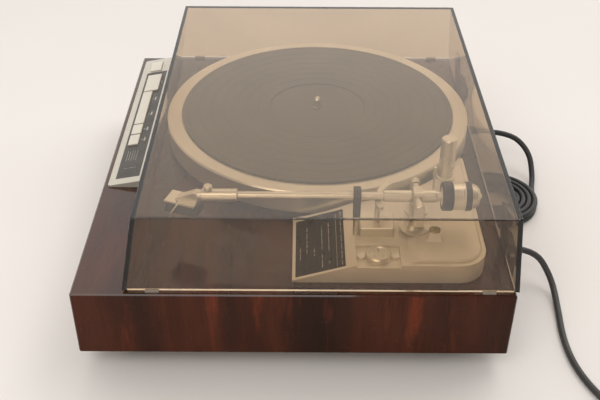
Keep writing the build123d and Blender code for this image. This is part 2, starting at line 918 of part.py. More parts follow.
with BuildPart() as bias_dial:
    revolve(
        half_section(dial_x, dial_y, [
            (0, dial_floor - dial_stud_l), (dial_stud_r, dial_floor - dial_stud_l),
            (dial_stud_r, dial_floor), (dial_r, dial_floor), (dial_r, dial_floor + dial_h - 1.2),
            (dial_r - 1.2, dial_floor + dial_h), (dial_r - 2.6, dial_floor + dial_h),
            (dial_r - 3.2, dial_floor + dial_h - 0.7), (0, dial_floor + dial_h - 0.7),
        ]),
        axis=upright(dial_x, dial_y),
    )

with BuildPart() as lamp_post:
    top = plateau_z + post_h - base_plateau
    revolve(
        half_section(post_x, post_y, [
            (0, plateau_z - spigot_l), (post_spigot_r, plateau_z - spigot_l),
            (post_spigot_r, plateau_z), (post_r + 1.5, plateau_z), (post_r + 1.5, plateau_z + 1.5),
            (post_r, plateau_z + 2.5), (post_r, top - 1), (post_r - 1, top), (0, top),
        ]),
        axis=upright(post_x, post_y),
    )

with BuildPart() as bias_post:
    px, py = pivot_x + bias_from_pivot[0], pivot_y + bias_from_pivot[1]
    top = plateau_z + bias_h
    revolve(
        half_section(px, py, [
            (0, plateau_z - spigot_l), (bias_r, plateau_z - spigot_l), (bias_r, plateau_z),
            (bias_r + 2, plateau_z), (bias_r + 1, plateau_z + 2), (bias_r, plateau_z + 2.5),
            (bias_r, top - bias_sleeve_h), (bias_sleeve_r, top - bias_sleeve_h),
            (bias_sleeve_r, top - 0.8), (bias_sleeve_r - 0.8, top), (0, top),
        ]),
        axis=upright(px, py),
    )

# ---- pillar and yoke: the arm swings on the pillar and tilts in the yoke
yoke_z = plateau_z + yoke_base_h
with BuildPart() as arm_pillar:
    shank_low = plateau_z - pillar_shank_l
    revolve(
        half_section(pivot_x, pivot_y, [
            (yoke_shaft_r + run_gap, yoke_z - yoke_shaft_l - 2),
            (yoke_shaft_r + run_gap, yoke_z - yoke_gap), (pillar_top_r, yoke_z - yoke_gap),
            (pillar_top_r, plateau_z + 8), (pillar_top_r + 1.2, plateau_z + 5),
            (pillar_top_r + 4.4, plateau_z + 2.4), (pillar_foot_r, plateau_z + 1),
            (pillar_foot_r, plateau_z), (pillar_shank_r, plateau_z), (pillar_shank_r, shank_low),
            (0, shank_low), (0, yoke_z - yoke_shaft_l - 2),
        ]),
        axis=upright(pivot_x, pivot_y),
    )

with BuildPart() as yoke:
    with BuildSketch(level(yoke_z)):
        with Locations((pivot_x, pivot_y)):
            Circle(yoke_disc_r)
            Rectangle(2 * yoke_reach + yoke_ear_t, yoke_ear_w)
    extrude(amount=yoke_disc_t)
    with BuildSketch(level(yoke_z)):
        with Locations((pivot_x, pivot_y)):
            Circle(yoke_shaft_r)
    extrude(amount=-yoke_shaft_l)
    for side in (-1, 1):
        middle = pivot_x + side * yoke_reach
        box_at(
            middle - yoke_ear_t / 2, middle + yoke_ear_t / 2,
            pivot_y - yoke_ear_w / 2, pivot_y + yoke_ear_w / 2, yoke_z, arm_z,
        )
        with BuildSketch(Plane.YZ.offset(middle - yoke_ear_t / 2)):
            with Locations((pivot_y, arm_z)):
                Circle(yoke_ear_w / 2)
        extrude(amount=yoke_ear_t)
    with BuildSketch(Plane.YZ.offset(pivot_x)):
        with Locations((pivot_y, arm_z)):
            Circle(axle_r + run_gap)
    extrude(amount=2 * yoke_reach, both=True, mode=Mode.SUBTRACT)

with BuildPart() as pivot_caps:
    for side in (-1, 1):
        face = yoke_reach + yoke_ear_t / 2
        revolve(
            cross_section([
                (side * face, axle_r + run_gap), (side * face, cap_r),
                (side * (face + cap_l - 0.8), cap_r), (side * (face + cap_l), cap_r - 0.8),
                (side * (face + cap_l), 0), (side * (face + 1.2), 0),
                (side * (face + 1.2), axle_r + run_gap),
            ]),
            axis=cross_axis,
        )

# ---- tonearm
with BuildPart() as arm_hub:
    revolve(
        arm_section([
            (-hub_front, 0), (-hub_front, hub_r - 0.5), (-hub_front + 0.5, hub_r),
            (-hub_block_l / 2 - 2, hub_r), (-hub_block_l / 2, hub_r - 1), (hub_block_l / 2, barrel_r),
            (barrel_end - 0.6, barrel_r), (barrel_end, barrel_r - 0.6), (washer_end, barrel_r - 0.6),
            (washer_end, stub_r), (stub_end - 0.8, stub_r), (stub_end, stub_r - 0.8),
            (stub_end, 0),
        ]),
        axis=arm_axis,
    )
    with Locations((pivot_x, pivot_y, arm_z)):
        Box(hub_block_w, hub_block_l, hub_block_h)
    fillet(arm_hub.edges().filter_by(Axis.Y).filter_by(lambda e: e.length > hub_block_l - 1), 3)
    for side in (-1, 1):
        inner, outer = hub_block_w / 2 - 1, yoke_reach - yoke_ear_t / 2 - 0.6
        revolve(
            cross_section([
                (side * inner, 0), (side * inner, cross_r), (side * outer, cross_r),
                (side * outer, axle_r), (side * (yoke_reach + yoke_ear_t / 2 + 0.8), axle_r),
                (side * (yoke_reach + yoke_ear_t / 2 + 0.8), 0),
            ]),
            axis=cross_axis,
        )
    # socket of the tube
    revolve(
        arm_section([(-hub_front, 0), (-hub_front, tube_r + seat_gap),
                     (-hub_front + tube_in_hub, tube_r + seat_gap), (-hub_front + tube_in_hub, 0)]),
        axis=arm_axis, mode=Mode.SUBTRACT,
    )

tube_front = -collar_front + spigot_l + 6
with BuildPart() as arm_tube:
    revolve(
        arm_section([
            (tube_front, tube_r - tube_wall), (tube_front, tube_r),
            (-hub_front + tube_in_hub, tube_r), (-hub_front + tube_in_hub, tube_r - tube_wall),
        ]),
        axis=arm_axis,
    )

with BuildPart() as arm_collar:
    revolve(
        arm_section([
            (-collar_front, tube_r + seat_gap), (-collar_front, collar_r - 0.4),
            (-collar_front + 0.4, collar_r), (-collar_front + 2.6, collar_r),
            (-collar_front + 2.6, collar_r - 0.35), (-collar_front + 3.2, collar_r - 0.35),
            (-collar_front + 3.2, collar_r), (-collar_front + collar_l - 1, collar_r),
            (-collar_front + collar_l, collar_r - 1), (-collar_front + collar_l, tube_r + seat_gap),
        ]),
        axis=arm_axis,
    )
    with BuildSketch(level(arm_z)):
        with Locations((pivot_x, pivot_y - collar_front + lock_back)):
            Circle(lock_stem_r + run_gap)
    extrude(amount=2 * collar_r, mode=Mode.SUBTRACT)

with BuildPart() as lock_knob:
    lx, ly = pivot_x, pivot_y - collar_front + lock_back
    under = arm_z + collar_r + 0.1
    revolve(
        half_section(lx, ly, [
            (0, arm_z + tube_r + 0.3), (lock_stem_r, arm_z + tube_r + 0.3), (lock_stem_r, under),
            (lock_r, under), (lock_r, under + lock_h - 0.7), (lock_r - 0.7, under + lock_h),
            (0, under + lock_h),
        ]),
        axis=upright(lx, ly),
    )

head_angle = math.radians(head_offset)
head_ahead = Vector(-math.sin(head_angle), -math.cos(head_angle), 0)
head_right = Vector(math.cos(head_angle), -math.sin(head_angle), 0)
head_origin = Vector(pivot_x, pivot_y - collar_front - neck_l + 1.5, arm_z)
head_side = Plane(head_origin, x_dir=head_ahead, z_dir=-head_right)


def head_section(points, width, shift=0):
    """A block across the headshell: (ahead, up) points in its middle plane, given a width."""
    with BuildPart() as block:
        with BuildSketch(head_side.offset(-shift)):
            with BuildLine():
                Polyline(*points, close=True)
            make_face()
        extrude(amount=width / 2, both=True)
    return block.part


def head_point(ahead, right, up):
    return head_origin + head_ahead * ahead + head_right * right + Vector(0, 0, up)


shell_low = -shell_drop - shell_t
with BuildPart() as headshell:
    revolve(
        arm_section([
            (-collar_front - neck_l, 0), (-collar_front - neck_l, neck_r - 0.6),
            (-collar_front - neck_l + 0.6, neck_r), (-collar_front, neck_r),
            (-collar_front, tube_r), (-collar_front + spigot_l, tube_r),
            (-collar_front + spigot_l, 0),
        ]),
        axis=arm_axis,
    )
    add(head_section([
        (0, shell_low), (shell_l - 2, shell_low), (shell_l, shell_low + 0.8),
        (shell_l, -shell_drop - 0.4), (shell_l - 0.4, -shell_drop), (0, -shell_drop),
    ], shell_w))
    add(head_section([
        (-1.2, -3.4), (-1.2, 3.4), (2.5, 3.4), (shell_l * 0.7, -shell_drop + 0.9),
        (shell_l * 0.7, -shell_drop - 0.2), (1.0, -shell_drop - 0.2),
    ], fairing_w))
    for side in (-1, 1):
        with Locations(Plane(head_point(shell_l * 0.6, side * shell_w * 0.36, -shell_drop),
                             x_dir=head_ahead, z_dir=(0, 0, 1)).location):
            Cylinder(1.1, 2 * shell_t + 2, mode=Mode.SUBTRACT)

cartridge_low = shell_low - cartridge_h
with BuildPart() as cartridge:
    add(head_section([
        (2.0, shell_low), (shell_l - 3.5, shell_low), (shell_l - 2.5, shell_low - 1.5),
        (shell_l + 1.0, cartridge_low + 2.0), (shell_l + 0.2, cartridge_low),
        (-1.0, cartridge_low), (-1.8, cartridge_low + 1.5), (-0.6, shell_low - 3.0),
        (2.0, shell_low - 1.5),
    ], cartridge_w))
    add(head_section([
        (16, cartridge_low - 0.1), (16, cartridge_low + 3), (40, cartridge_low + 3),
        (40, cartridge_low - 0.1),
    ], 8.0 + 2 * seat_gap), mode=Mode.SUBTRACT)

with BuildPart() as stylus:
    add(head_section([
        (16.05, cartridge_low), (16.05, cartridge_low + 2.95), (shell_l - 0.5, cartridge_low + 2.95),
        (shell_l + 1.0, cartridge_low + 1.2), (shell_l + 0.2, cartridge_low),
    ], 8.0))
    add(head_section([
        (22.0, cartridge_low + 0.2), (25.0, cartridge_low + 0.2),
        (shell_l - 1.2, -stylus_drop + 0.5), (shell_l - 1.6, -stylus_drop),
        (shell_l - 2.2, -stylus_drop + 0.4),
    ], 0.8))

with BuildPart() as finger_lift:
    with BuildLine() as bend:
        FilletPolyline(
            head_point(16, shell_w / 2, shell_low + shell_t / 2),
            head_point(16, shell_w / 2 + 3.6, shell_low + shell_t / 2),
            head_point(19.5, shell_w / 2 + 4.8, -14.0),
            head_point(21.5, shell_w / 2 + 5.2, -20.0),
            radius=1.8,
        )
    with BuildSketch(Plane(bend.wire() @ 0, z_dir=bend.wire() % 0)) as section:
        Circle(finger_r)
    sweep(sections=section.sketch, path=bend.wire())

# ---- counterweight with its scale ring
weight_neck_r = 8.5
ring_end = weight_front + weight_dial_l
band_start = weight_front + weight_l - weight_cap_l - weight_band_l
with BuildPart() as counterweight:
    bore = stub_r + run_gap
    revolve(
        arm_section([
            (weight_front, bore), (weight_front, weight_neck_r), (ring_end + 0.2, weight_neck_r),
            (ring_end + 0.2, weight_r - 0.5), (ring_end + 0.7, weight_r), (band_start, weight_r),
            (band_start, weight_band_r), (band_start + weight_band_l, weight_band_r),
            (band_start + weight_band_l + 0.4, weight_r - 0.6),
            (weight_front + weight_l - 3.5, weight_r - 2.2), (weight_front + weight_l - 1, weight_r - 4.6),
            (weight_front + weight_l, weight_r - 7.5), (weight_front + weight_l, weight_nub_r),
            (weight_front + weight_l + weight_nub_l, weight_nub_r),
            (weight_front + weight_l + weight_nub_l, 0),
            (stub_end + weight_travel + 2, 0), (stub_end + weight_travel + 2, bore),
        ]),
        axis=arm_axis,
    )

with BuildPart() as weight_dial:
    revolve(
        arm_section([
            (weight_front, weight_neck_r + run_gap), (weight_front, weight_band_r - 1.2),
            (weight_front + 0.8, weight_band_r), (ring_end, weight_band_r),
            (ring_end, weight_neck_r + run_gap),
        ]),
        axis=arm_axis,
    )

# ---- arm rest
rest_x, rest_y = pivot_x + rest_out, pivot_y - rest_ahead
clip_low = arm_z - rest_clip_drop
with BuildPart() as rest_post:
    revolve(
        half_section(rest_x, rest_y, [
            (0, platform_z - spigot_l), (rest_post_r, platform_z - spigot_l),
            (rest_post_r, clip_low), (0, clip_low),
        ]),
        axis=upright(rest_x, rest_y),
    )

lip = tube_r + rest_gap
with BuildPart() as rest_clip:
    with BuildSketch(Plane((pivot_x, rest_y, arm_z), x_dir=(1, 0, 0), z_dir=(0, -1, 0))):
        with BuildLine():
            Polyline(
                (-lip - 1.6, -lip), (lip, -lip), (lip + 0.4, -lip + 0.4), (lip + 0.4, 5.6),
                (lip - 0.8, 7.0), (-1.6, 7.3), (-2.2, 8.8), (3.6, rest_hook), (7.2, 8.2),
                (rest_out + rest_post_r, 4.2), (rest_out + rest_post_r, -rest_clip_drop),
                (rest_out - rest_post_r, -rest_clip_drop), (rest_out - rest_post_r, -lip - 5.6),
                (-lip - 0.9, -lip - 2.4), close=True,
            )
        make_face()
    extrude(amount=rest_clip_w / 2, both=True)

# ---- arm lift
with BuildPart() as lift_block:
    with BuildSketch(level(platform_z)):
        with Locations((lift_x, lift_y)):
            RectangleRounded(lift_block_w, lift_block_l, 2)
    extrude(amount=lift_block_h)
    chamfer(lift_block.faces().sort_by(Axis.Z)[-1].edges(), 0.8)
    with BuildSketch(level(platform_z)):
        with Locations((lift_x, lift_y)):
            Circle(lift_stem_r + run_gap)
    extrude(amount=lift_block_h, mode=Mode.SUBTRACT)

with BuildPart() as lifter:
    with BuildSketch(level(bar_top)):
        with BuildLine():
            CenterArc(
                (pivot_x, pivot_y), lift_ahead, 270 - lift_sweep_in, lift_sweep_in + lift_sweep_out,
            )
        trace(line_width=lift_bar_w)
    extrude(amount=-lift_bar_t)
    fillet(lifter.edges().filter_by(Axis.Z), 1.0)
    with BuildSketch(level(bar_top - lift_bar_t)):
        with Locations((lift_x, lift_y)):
            Circle(lift_stem_r)
    extrude(amount=-(bar_top - lift_bar_t - (platform_z - lift_bore + lift_travel + 1)))

# ---- cue lever: tilting it raises and lowers the arm
cue_pivot_z = plateau_z + cue_pivot_rise
with BuildPart() as cue_foot:
    with BuildSketch(level(plateau_z)):
        with Locations((cue_x, cue_y)):
            Rectangle(cue_foot_w, cue_foot_l)
    extrude(amount=cue_foot_h, taper=cue_foot_taper)
    with BuildSketch(level(plateau_z)):
        with Locations((cue_x, cue_y)):
            Rectangle(2 * cue_neck_r + 0.5, 2 * cue_neck_r + cue_slot_play)
    extrude(amount=cue_foot_h, mode=Mode.SUBTRACT)
    with BuildSketch(Plane.YZ.offset(cue_x - cue_axle_l / 2 - seat_gap)):
        with Locations((cue_y, cue_pivot_z)):
            Circle(cue_axle_r + run_gap)
    extrude(amount=cue_axle_l + 2 * seat_gap, mode=Mode.SUBTRACT)

with BuildPart() as cue_lever:
    cap_z = plateau_z + cue_foot_h + 0.9
    revolve(
        half_section(cue_x, cue_y, [
            (0, cue_pivot_z - 1.2), (cue_neck_r, cue_pivot_z - 1.2), (cue_neck_r, cap_z),
            (cue_cap_r - 0.5, cap_z), (cue_cap_r, cap_z + 0.5), (cue_cap_r, cap_z + cue_cap_t - 0.5),
            (cue_cap_r - 0.5, cap_z + cue_cap_t), (0, cap_z + cue_cap_t),
        ]),
        axis=upright(cue_x, cue_y),
    )
    with BuildSketch(Plane.YZ.offset(cue_x - cue_axle_l / 2)):
        with Locations((cue_y, cue_pivot_z)):
            Circle(cue_axle_r)
    extrude(amount=cue_axle_l)

# =====================================================================================
# dust cover and its hinges


def cover_section(z, inset):
    """The cover's rounded outline at height z above its lower edge."""
    f = z / cover_h
    x = cover_x - f * draft_side - inset
    y0 = cover_y0 + f * draft_front + inset
    y1 = cover_y1 - f * draft_rear - inset
    with BuildSketch(level(cover_z + z)) as sketch:
        with Locations((0, (y0 + y1) / 2)):
            RectangleRounded(2 * x, y1 - y0, cover_corner - inset)
    return sketch.sketch


with BuildPart() as dust_cover:
    loft([cover_section(0, 0), cover_section(cover_h, 0)])
    fillet(dust_cover.faces().sort_by(Axis.Z)[-1].edges(), cover_edge)
    loft(
        [cover_section(0, cover_wall), cover_section(cover_h - cover_wall, cover_wall)],
        mode=Mode.SUBTRACT,
    )

with BuildPart() as cover_buffers:
    for side in (-1, 1):
        for y in (cover_y0 + 26, cover_y1 - 26):
            middle = side * (cover_x - cover_wall / 2)
            box_at(
                middle - buffer_w / 2, middle + buffer_w / 2, y - buffer_l / 2, y + buffer_l / 2,
                deck_z, cover_z,
            )


def rear_wall_y(z):
    """Outer face of the cover's rear wall at height z above its lower edge."""
    return cover_y1 - draft_rear * z / cover_h


hinge_top = hinge_z - hinge_drop
with BuildPart() as hinge_bodies:
    for x in hinge_xs:
        box_at(
            x - hinge_w / 2, x + hinge_w / 2, rear_y, hinge_y + hinge_knuckle_r - 2,
            hinge_top - hinge_body_h, hinge_top,
        )
        for side in (-1, 1):
            near = x + side * (hinge_w / 2 - hinge_ear_t / 2)
            box_at(
                near - hinge_ear_t / 2, near + hinge_ear_t / 2,
                hinge_y - hinge_knuckle_r, hinge_y + hinge_knuckle_r, hinge_top - 6, hinge_z,
            )
            with BuildSketch(Plane.YZ.offset(near - hinge_ear_t / 2)):
                with Locations((hinge_y, hinge_z)):
                    Circle(hinge_knuckle_r)
            extrude(amount=hinge_ear_t)
        with BuildSketch(Plane.YZ.offset(x)):
            with Locations((hinge_y, hinge_z)):
                Circle(hinge_pin_r + seat_gap)
        extrude(amount=hinge_w, both=True, mode=Mode.SUBTRACT)
        for z in hinge_screw_zs:
            with Locations(Plane((x, rear_y, z), z_dir=(0, 1, 0)).location):
                Cylinder(screw_r + hole_gap, 40, mode=Mode.SUBTRACT)
            with Locations(Plane((x, rear_y + hinge_screw_web, z), z_dir=(0, 1, 0)).location):
                Cylinder(
                    screw_head_r + 0.5, 40, align=(Align.CENTER, Align.CENTER, Align.MIN),
                    mode=Mode.SUBTRACT,
                )

with BuildPart() as hinge_pins:
    for x in hinge_xs:
        with Locations(Plane((x, hinge_y, hinge_z), z_dir=(1, 0, 0)).location):
            Cylinder(hinge_pin_r, hinge_w - 1)

with BuildPart() as hinge_leaves:
    leaf_w = hinge_w - 2 * hinge_ear_t - 2 * hinge_leaf_gap
    for x in hinge_xs:
        leaf_z = hinge_leaf_h
        extrude(
            side_section([
                (rear_wall_y(0), cover_z), (rear_wall_y(leaf_z), cover_z + leaf_z),
                (rear_wall_y(leaf_z) + hinge_leaf_t, cover_z + leaf_z),
                (rear_wall_y(10) + hinge_leaf_t, cover_z + 10),
                (hinge_y + 2, hinge_z + hinge_knuckle_r - 1.2), (hinge_y, hinge_z),
                (hinge_y - 3, hinge_z - 3.6), (rear_wall_y(0) + 0.6, cover_z - 1.2),
            ]).moved(Location((x - leaf_w / 2, 0, 0))),
            amount=leaf_w,
        )
        with BuildSketch(Plane.YZ.offset(x - leaf_w / 2)):
            with Locations((hinge_y, hinge_z)):
                Circle(hinge_knuckle_r - 0.3)
        extrude(amount=leaf_w)
        with BuildSketch(Plane.YZ.offset(x)):
            with Locations((hinge_y, hinge_z)):
                Circle(hinge_pin_r + run_gap)
        extrude(amount=leaf_w, both=True, mode=Mode.SUBTRACT)

# =====================================================================================
# every screw of the player, alike: a pan head and a shank, by where its head sits
with BuildPart() as screws:
    seats = []
    for x, y in bottom_screw_spots:
        seats.append(Plane((x, y, foot_h), z_dir=(0, 0, -1)))
    for x, y in motor_screw_spots:
        seats.append(Plane((x, y, deck_z + motor_flange_t), z_dir=(0, 0, 1)))
    for x, y in base_screw_spots:
        seats.append(Plane((x, y, deck_z - base_screw_web), z_dir=(0, 0, -1)))
    for x, y in dial_screw_spots:
        seats.append(Plane((x, y, dial_floor), z_dir=(0, 0, 1)))
    for x in hinge_xs:
        for z in hinge_screw_zs:
            seats.append(Plane((x, rear_y + hinge_screw_web, z), z_dir=(0, 1, 0)))
    for seat in seats:
        with Locations(seat.location):
            Cylinder(
                screw_head_r, screw_head_h, align=(Align.CENTER, Align.CENTER, Align.MIN),
            )
            Cylinder(screw_r, screw_l, align=(Align.CENTER, Align.CENTER, Align.MAX))

# =====================================================================================
# cords: a smooth run on the floor behind the player, then a put-away coil


def bend_radii(points):
    """One radius a corner: as easy a bend as the shorter of the two runs allows."""
    radii = []
    for a, b, c in zip(points, points[1:], points[2:]):
        one, two = Vector(*b) - Vector(*a), Vector(*c) - Vector(*b)
        half = math.radians(one.get_angle(two)) / 2
        radii.append(0.45 * min(one.length, two.length) / math.tan(half))
    return radii


def tube_along(points, radius):
    with BuildPart() as tube:
        with BuildLine() as run:
            FilletPolyline(*points, radius=bend_radii(points))
        route = run.wire()
        with BuildSketch(Plane(route @ 0, z_dir=route % 0)) as ring:
            Circle(radius)
        sweep(sections=ring.sketch, path=route)
    ratio = tube.part.volume / (math.pi * radius**2 * route.length)
    print("tube: bend radii", [round(r, 1) for r in bend_radii(points)], "length",
          round(route.length, 1), "volume against section times length", round(ratio, 4))
    return tube.part


def coil_at(centre, mid_r, width, height):
    """Outer shape of a coiled cord lying on the floor."""
    x, y = centre
    with BuildPart() as coil:
        with BuildSketch(Plane((x, y, 0), x_dir=(1, 0, 0), z_dir=(0, -1, 0))):
            with Locations((mid_r, height / 2)):
                RectangleRounded(width, height, min(width, height) / 3)
        revolve(axis=upright(x, y))
    return coil.part


with BuildPart() as mains_relief:
    with Locations(Plane((mains_exit_x, rear_y, mains_exit_z), z_dir=(0, 1, 0)).location):
        Cylinder(mains_relief_r + 2, 3, align=(Align.CENTER, Align.CENTER, Align.MIN))
        Cone(
            mains_relief_r, mains_r + 0.8, mains_relief_l,
            align=(Align.CENTER, Align.CENTER, Align.MIN),
        )

with BuildPart() as signal_relief:
    with Locations(Plane((lead_exit_x, rear_y, lead_exit_z), z_dir=(0, 1, 0)).location):
        Cylinder(lead_relief_r + 1.5, 2.5, align=(Align.CENTER, Align.CENTER, Align.MIN))
        Cone(
            lead_relief_r, lead_r + 0.7, lead_relief_l,
            align=(Align.CENTER, Align.CENTER, Align.MIN),
        )

mains_route = [
    (mains_exit_x, rear_y + mains_relief_l, mains_exit_z),
    (mains_exit_x, 251.0, mains_exit_z), (-112.0, 275.0, 27.0), (-84.0, 276.0, 9.0),
    (-62.0, 270.5, mains_r), (-42.0, 265.5, mains_r),
]
mains_tail = [(-46.0, 184.0, mains_r), (-72.0, 184.6, mains_r), (-96.0, 193.0, mains_r)]
with BuildPart() as mains_cord:
    add(tube_along(mains_route, mains_r))
    add(tube_along(mains_tail, mains_r))

with BuildPart() as mains_coil:
    add(coil_at(mains_coil_at, mains_coil_mid_r, mains_coil_w, mains_coil_h))

plug_dir = (Vector(*mains_tail[-1]) - Vector(*mains_tail[-2])).normalized()
plug_plane = Plane(
    Vector(mains_tail[-1][0], mains_tail[-1][1], plug_t / 2), x_dir=plug_dir, z_dir=(0, 0, 1),
)
with BuildPart() as mains_plug:
    with Locations((plug_plane * Location((plug_l / 2, 0, 0)))):
        Box(plug_l, plug_w, plug_t)
    fillet(mains_plug.edges().filter_by(lambda e: abs(e.length - plug_l) < 0.1), 3)
    with Locations(*[
        plug_plane * Location((plug_l + plug_blade_l / 2, side * plug_blade_gap / 2, 0))
        for side in (-1, 1)
    ]):
        Box(plug_blade_l, plug_blade_t, plug_blade_w)

signal_route = [
    (lead_exit_x, rear_y + lead_relief_l, lead_exit_z), (lead_exit_x, 237.0, lead_exit_z),
    (106.0, 255.0, 13.0), (140.0, 255.5, lead_r), (186.0, 250.0, lead_r),
    (226.0, 253.0, lead_r), (262.0, 267.0, lead_r), (294.0, 288.0, lead_r),
    (324.0, 295.4, lead_r),
]
signal_tail = [(363.6, 258.0, lead_r), (362.0, 232.0, lead_r), (352.0, 209.0, lead_r)]
with BuildPart() as signal_lead:
    add(tube_along(signal_route, lead_r))
    add(tube_along(signal_tail, lead_r))

with BuildPart() as signal_coil:
    add(coil_at(lead_coil_at, lead_coil_mid_r, lead_coil_w, lead_coil_h))

jack_dir = (Vector(*signal_tail[-1]) - Vector(*signal_tail[-2])).normalized()
jack_plane = Plane(
    Vector(signal_tail[-1][0], signal_tail[-1][1], jack_r), x_dir=jack_dir, z_dir=(0, 0, 1),
)
with BuildPart() as signal_plugs:
    for side in (-1, 1):
        across = side * (jack_r + 0.2)
        start = jack_plane * Location((0, across, 0)) * Location((0, 0, 0), (0, 90, 0))
        with Locations(start):
            Cylinder(jack_r, jack_l, align=(Align.CENTER, Align.CENTER, Align.MIN))
            Cylinder(
                jack_r - 1.2, jack_l + 5, align=(Align.CENTER, Align.CENTER, Align.MIN),
            )
            Cylinder(1.6, jack_l + 14, align=(Align.CENTER, Align.CENTER, Align.MIN))

# =====================================================================================
pieces = {
    "plinth": plinth, "bottom_cover": bottom_cover, "feet": feet, "foot_pads": foot_pads,
    "screws": screws, "panel_frame": panel_frame, "panel_inset": panel_inset,
    "indicator_lenses": indicator_lenses, "switch_board": switch_board,
    "motor_base": motor_base, "stator": stator, "rotor_magnet": rotor_magnet,
    "spindle": spindle, "platter": platter, "mat": mat, "transformer": transformer,
    "main_board": main_board, "arm_base": arm_base, "info_plate": info_plate,
    "bias_dial": bias_dial, "lamp_post": lamp_post, "bias_post": bias_post,
    "arm_pillar": arm_pillar, "yoke": yoke, "pivot_caps": pivot_caps, "arm_hub": arm_hub,
    "arm_tube": arm_tube, "arm_collar": arm_collar, "lock_knob": lock_knob,
    "headshell": headshell, "cartridge": cartridge, "stylus": stylus,
    "finger_lift": finger_lift, "counterweight": counterweight, "weight_dial": weight_dial,
    "rest_post": rest_post, "rest_clip": rest_clip, "lift_block": lift_block,
    "lifter": lifter, "cue_foot": cue_foot, "cue_lever": cue_lever,
    "dust_cover": dust_cover, "cover_buffers": cover_buffers, "hinge_bodies": hinge_bodies,
    "hinge_pins": hinge_pins, "hinge_leaves": hinge_leaves, "mains_relief": mains_relief,
    "mains_cord": mains_cord, "mains_coil": mains_coil, "mains_plug": mains_plug,
    "signal_relief": signal_relief, "signal_lead": signal_lead, "signal_coil": signal_coil,
    "signal_plugs": signal_plugs,
}
os.makedirs("parts", exist_ok=True)
for name, piece in pieces.items():
    piece.part.label = name
    export_step(piece.part, f"parts/{name}.step")
for name, part in button_parts.items():
    export_step(part, f"parts/{name}.step")
print(len(pieces) + len(button_parts), "pieces")
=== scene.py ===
import json
import math

import bmesh
import bpy
from mathutils import Matrix, Vector


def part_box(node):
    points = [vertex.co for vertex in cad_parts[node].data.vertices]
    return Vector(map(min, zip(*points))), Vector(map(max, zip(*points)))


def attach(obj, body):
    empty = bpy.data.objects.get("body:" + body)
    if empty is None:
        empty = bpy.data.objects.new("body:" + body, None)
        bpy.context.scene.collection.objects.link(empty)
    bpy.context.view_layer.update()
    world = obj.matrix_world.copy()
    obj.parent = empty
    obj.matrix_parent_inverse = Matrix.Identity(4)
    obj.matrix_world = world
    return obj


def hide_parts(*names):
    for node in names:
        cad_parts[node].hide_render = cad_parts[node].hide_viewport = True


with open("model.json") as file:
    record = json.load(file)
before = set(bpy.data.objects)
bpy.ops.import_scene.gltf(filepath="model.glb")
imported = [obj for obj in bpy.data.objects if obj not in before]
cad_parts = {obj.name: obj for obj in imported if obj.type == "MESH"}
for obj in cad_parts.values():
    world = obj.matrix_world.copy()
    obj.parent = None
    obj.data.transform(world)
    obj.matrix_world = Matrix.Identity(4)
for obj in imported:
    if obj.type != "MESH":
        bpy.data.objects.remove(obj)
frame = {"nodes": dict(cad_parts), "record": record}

scene = bpy.context.scene
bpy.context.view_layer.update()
MM = 0.001


# ------------------------------------------------------------------ camera
# Fitted to the photograph: corners of plinth and cover, ellipses of platter and mat.
CAMERA_PLACE = (0.8121, -0.00174, 0.61003)
CAMERA_PITCH, CAMERA_DRIFT, CAMERA_ROLL = 0.6189, -0.0002, 0.0055
SENSOR_WIDTH, FOCAL_LENGTH = 36.0, 54.08

camera = bpy.data.objects.new("Camera", bpy.data.cameras.new("Camera"))
scene.collection.objects.link(camera)
ahead = Vector((-math.cos(CAMERA_PITCH), CAMERA_DRIFT, -math.sin(CAMERA_PITCH))).normalized()
across = ahead.cross(Vector((0, 0, 1))).normalized()
upward = across.cross(ahead)
right = across * math.cos(CAMERA_ROLL) + upward * math.sin(CAMERA_ROLL)
up = upward * math.cos(CAMERA_ROLL) - across * math.sin(CAMERA_ROLL)
turn = Matrix((right, up, -ahead)).transposed().to_4x4()
camera.matrix_world = Matrix.Translation(CAMERA_PLACE) @ turn
camera.data.sensor_width = SENSOR_WIDTH
camera.data.lens = FOCAL_LENGTH
scene.camera = camera


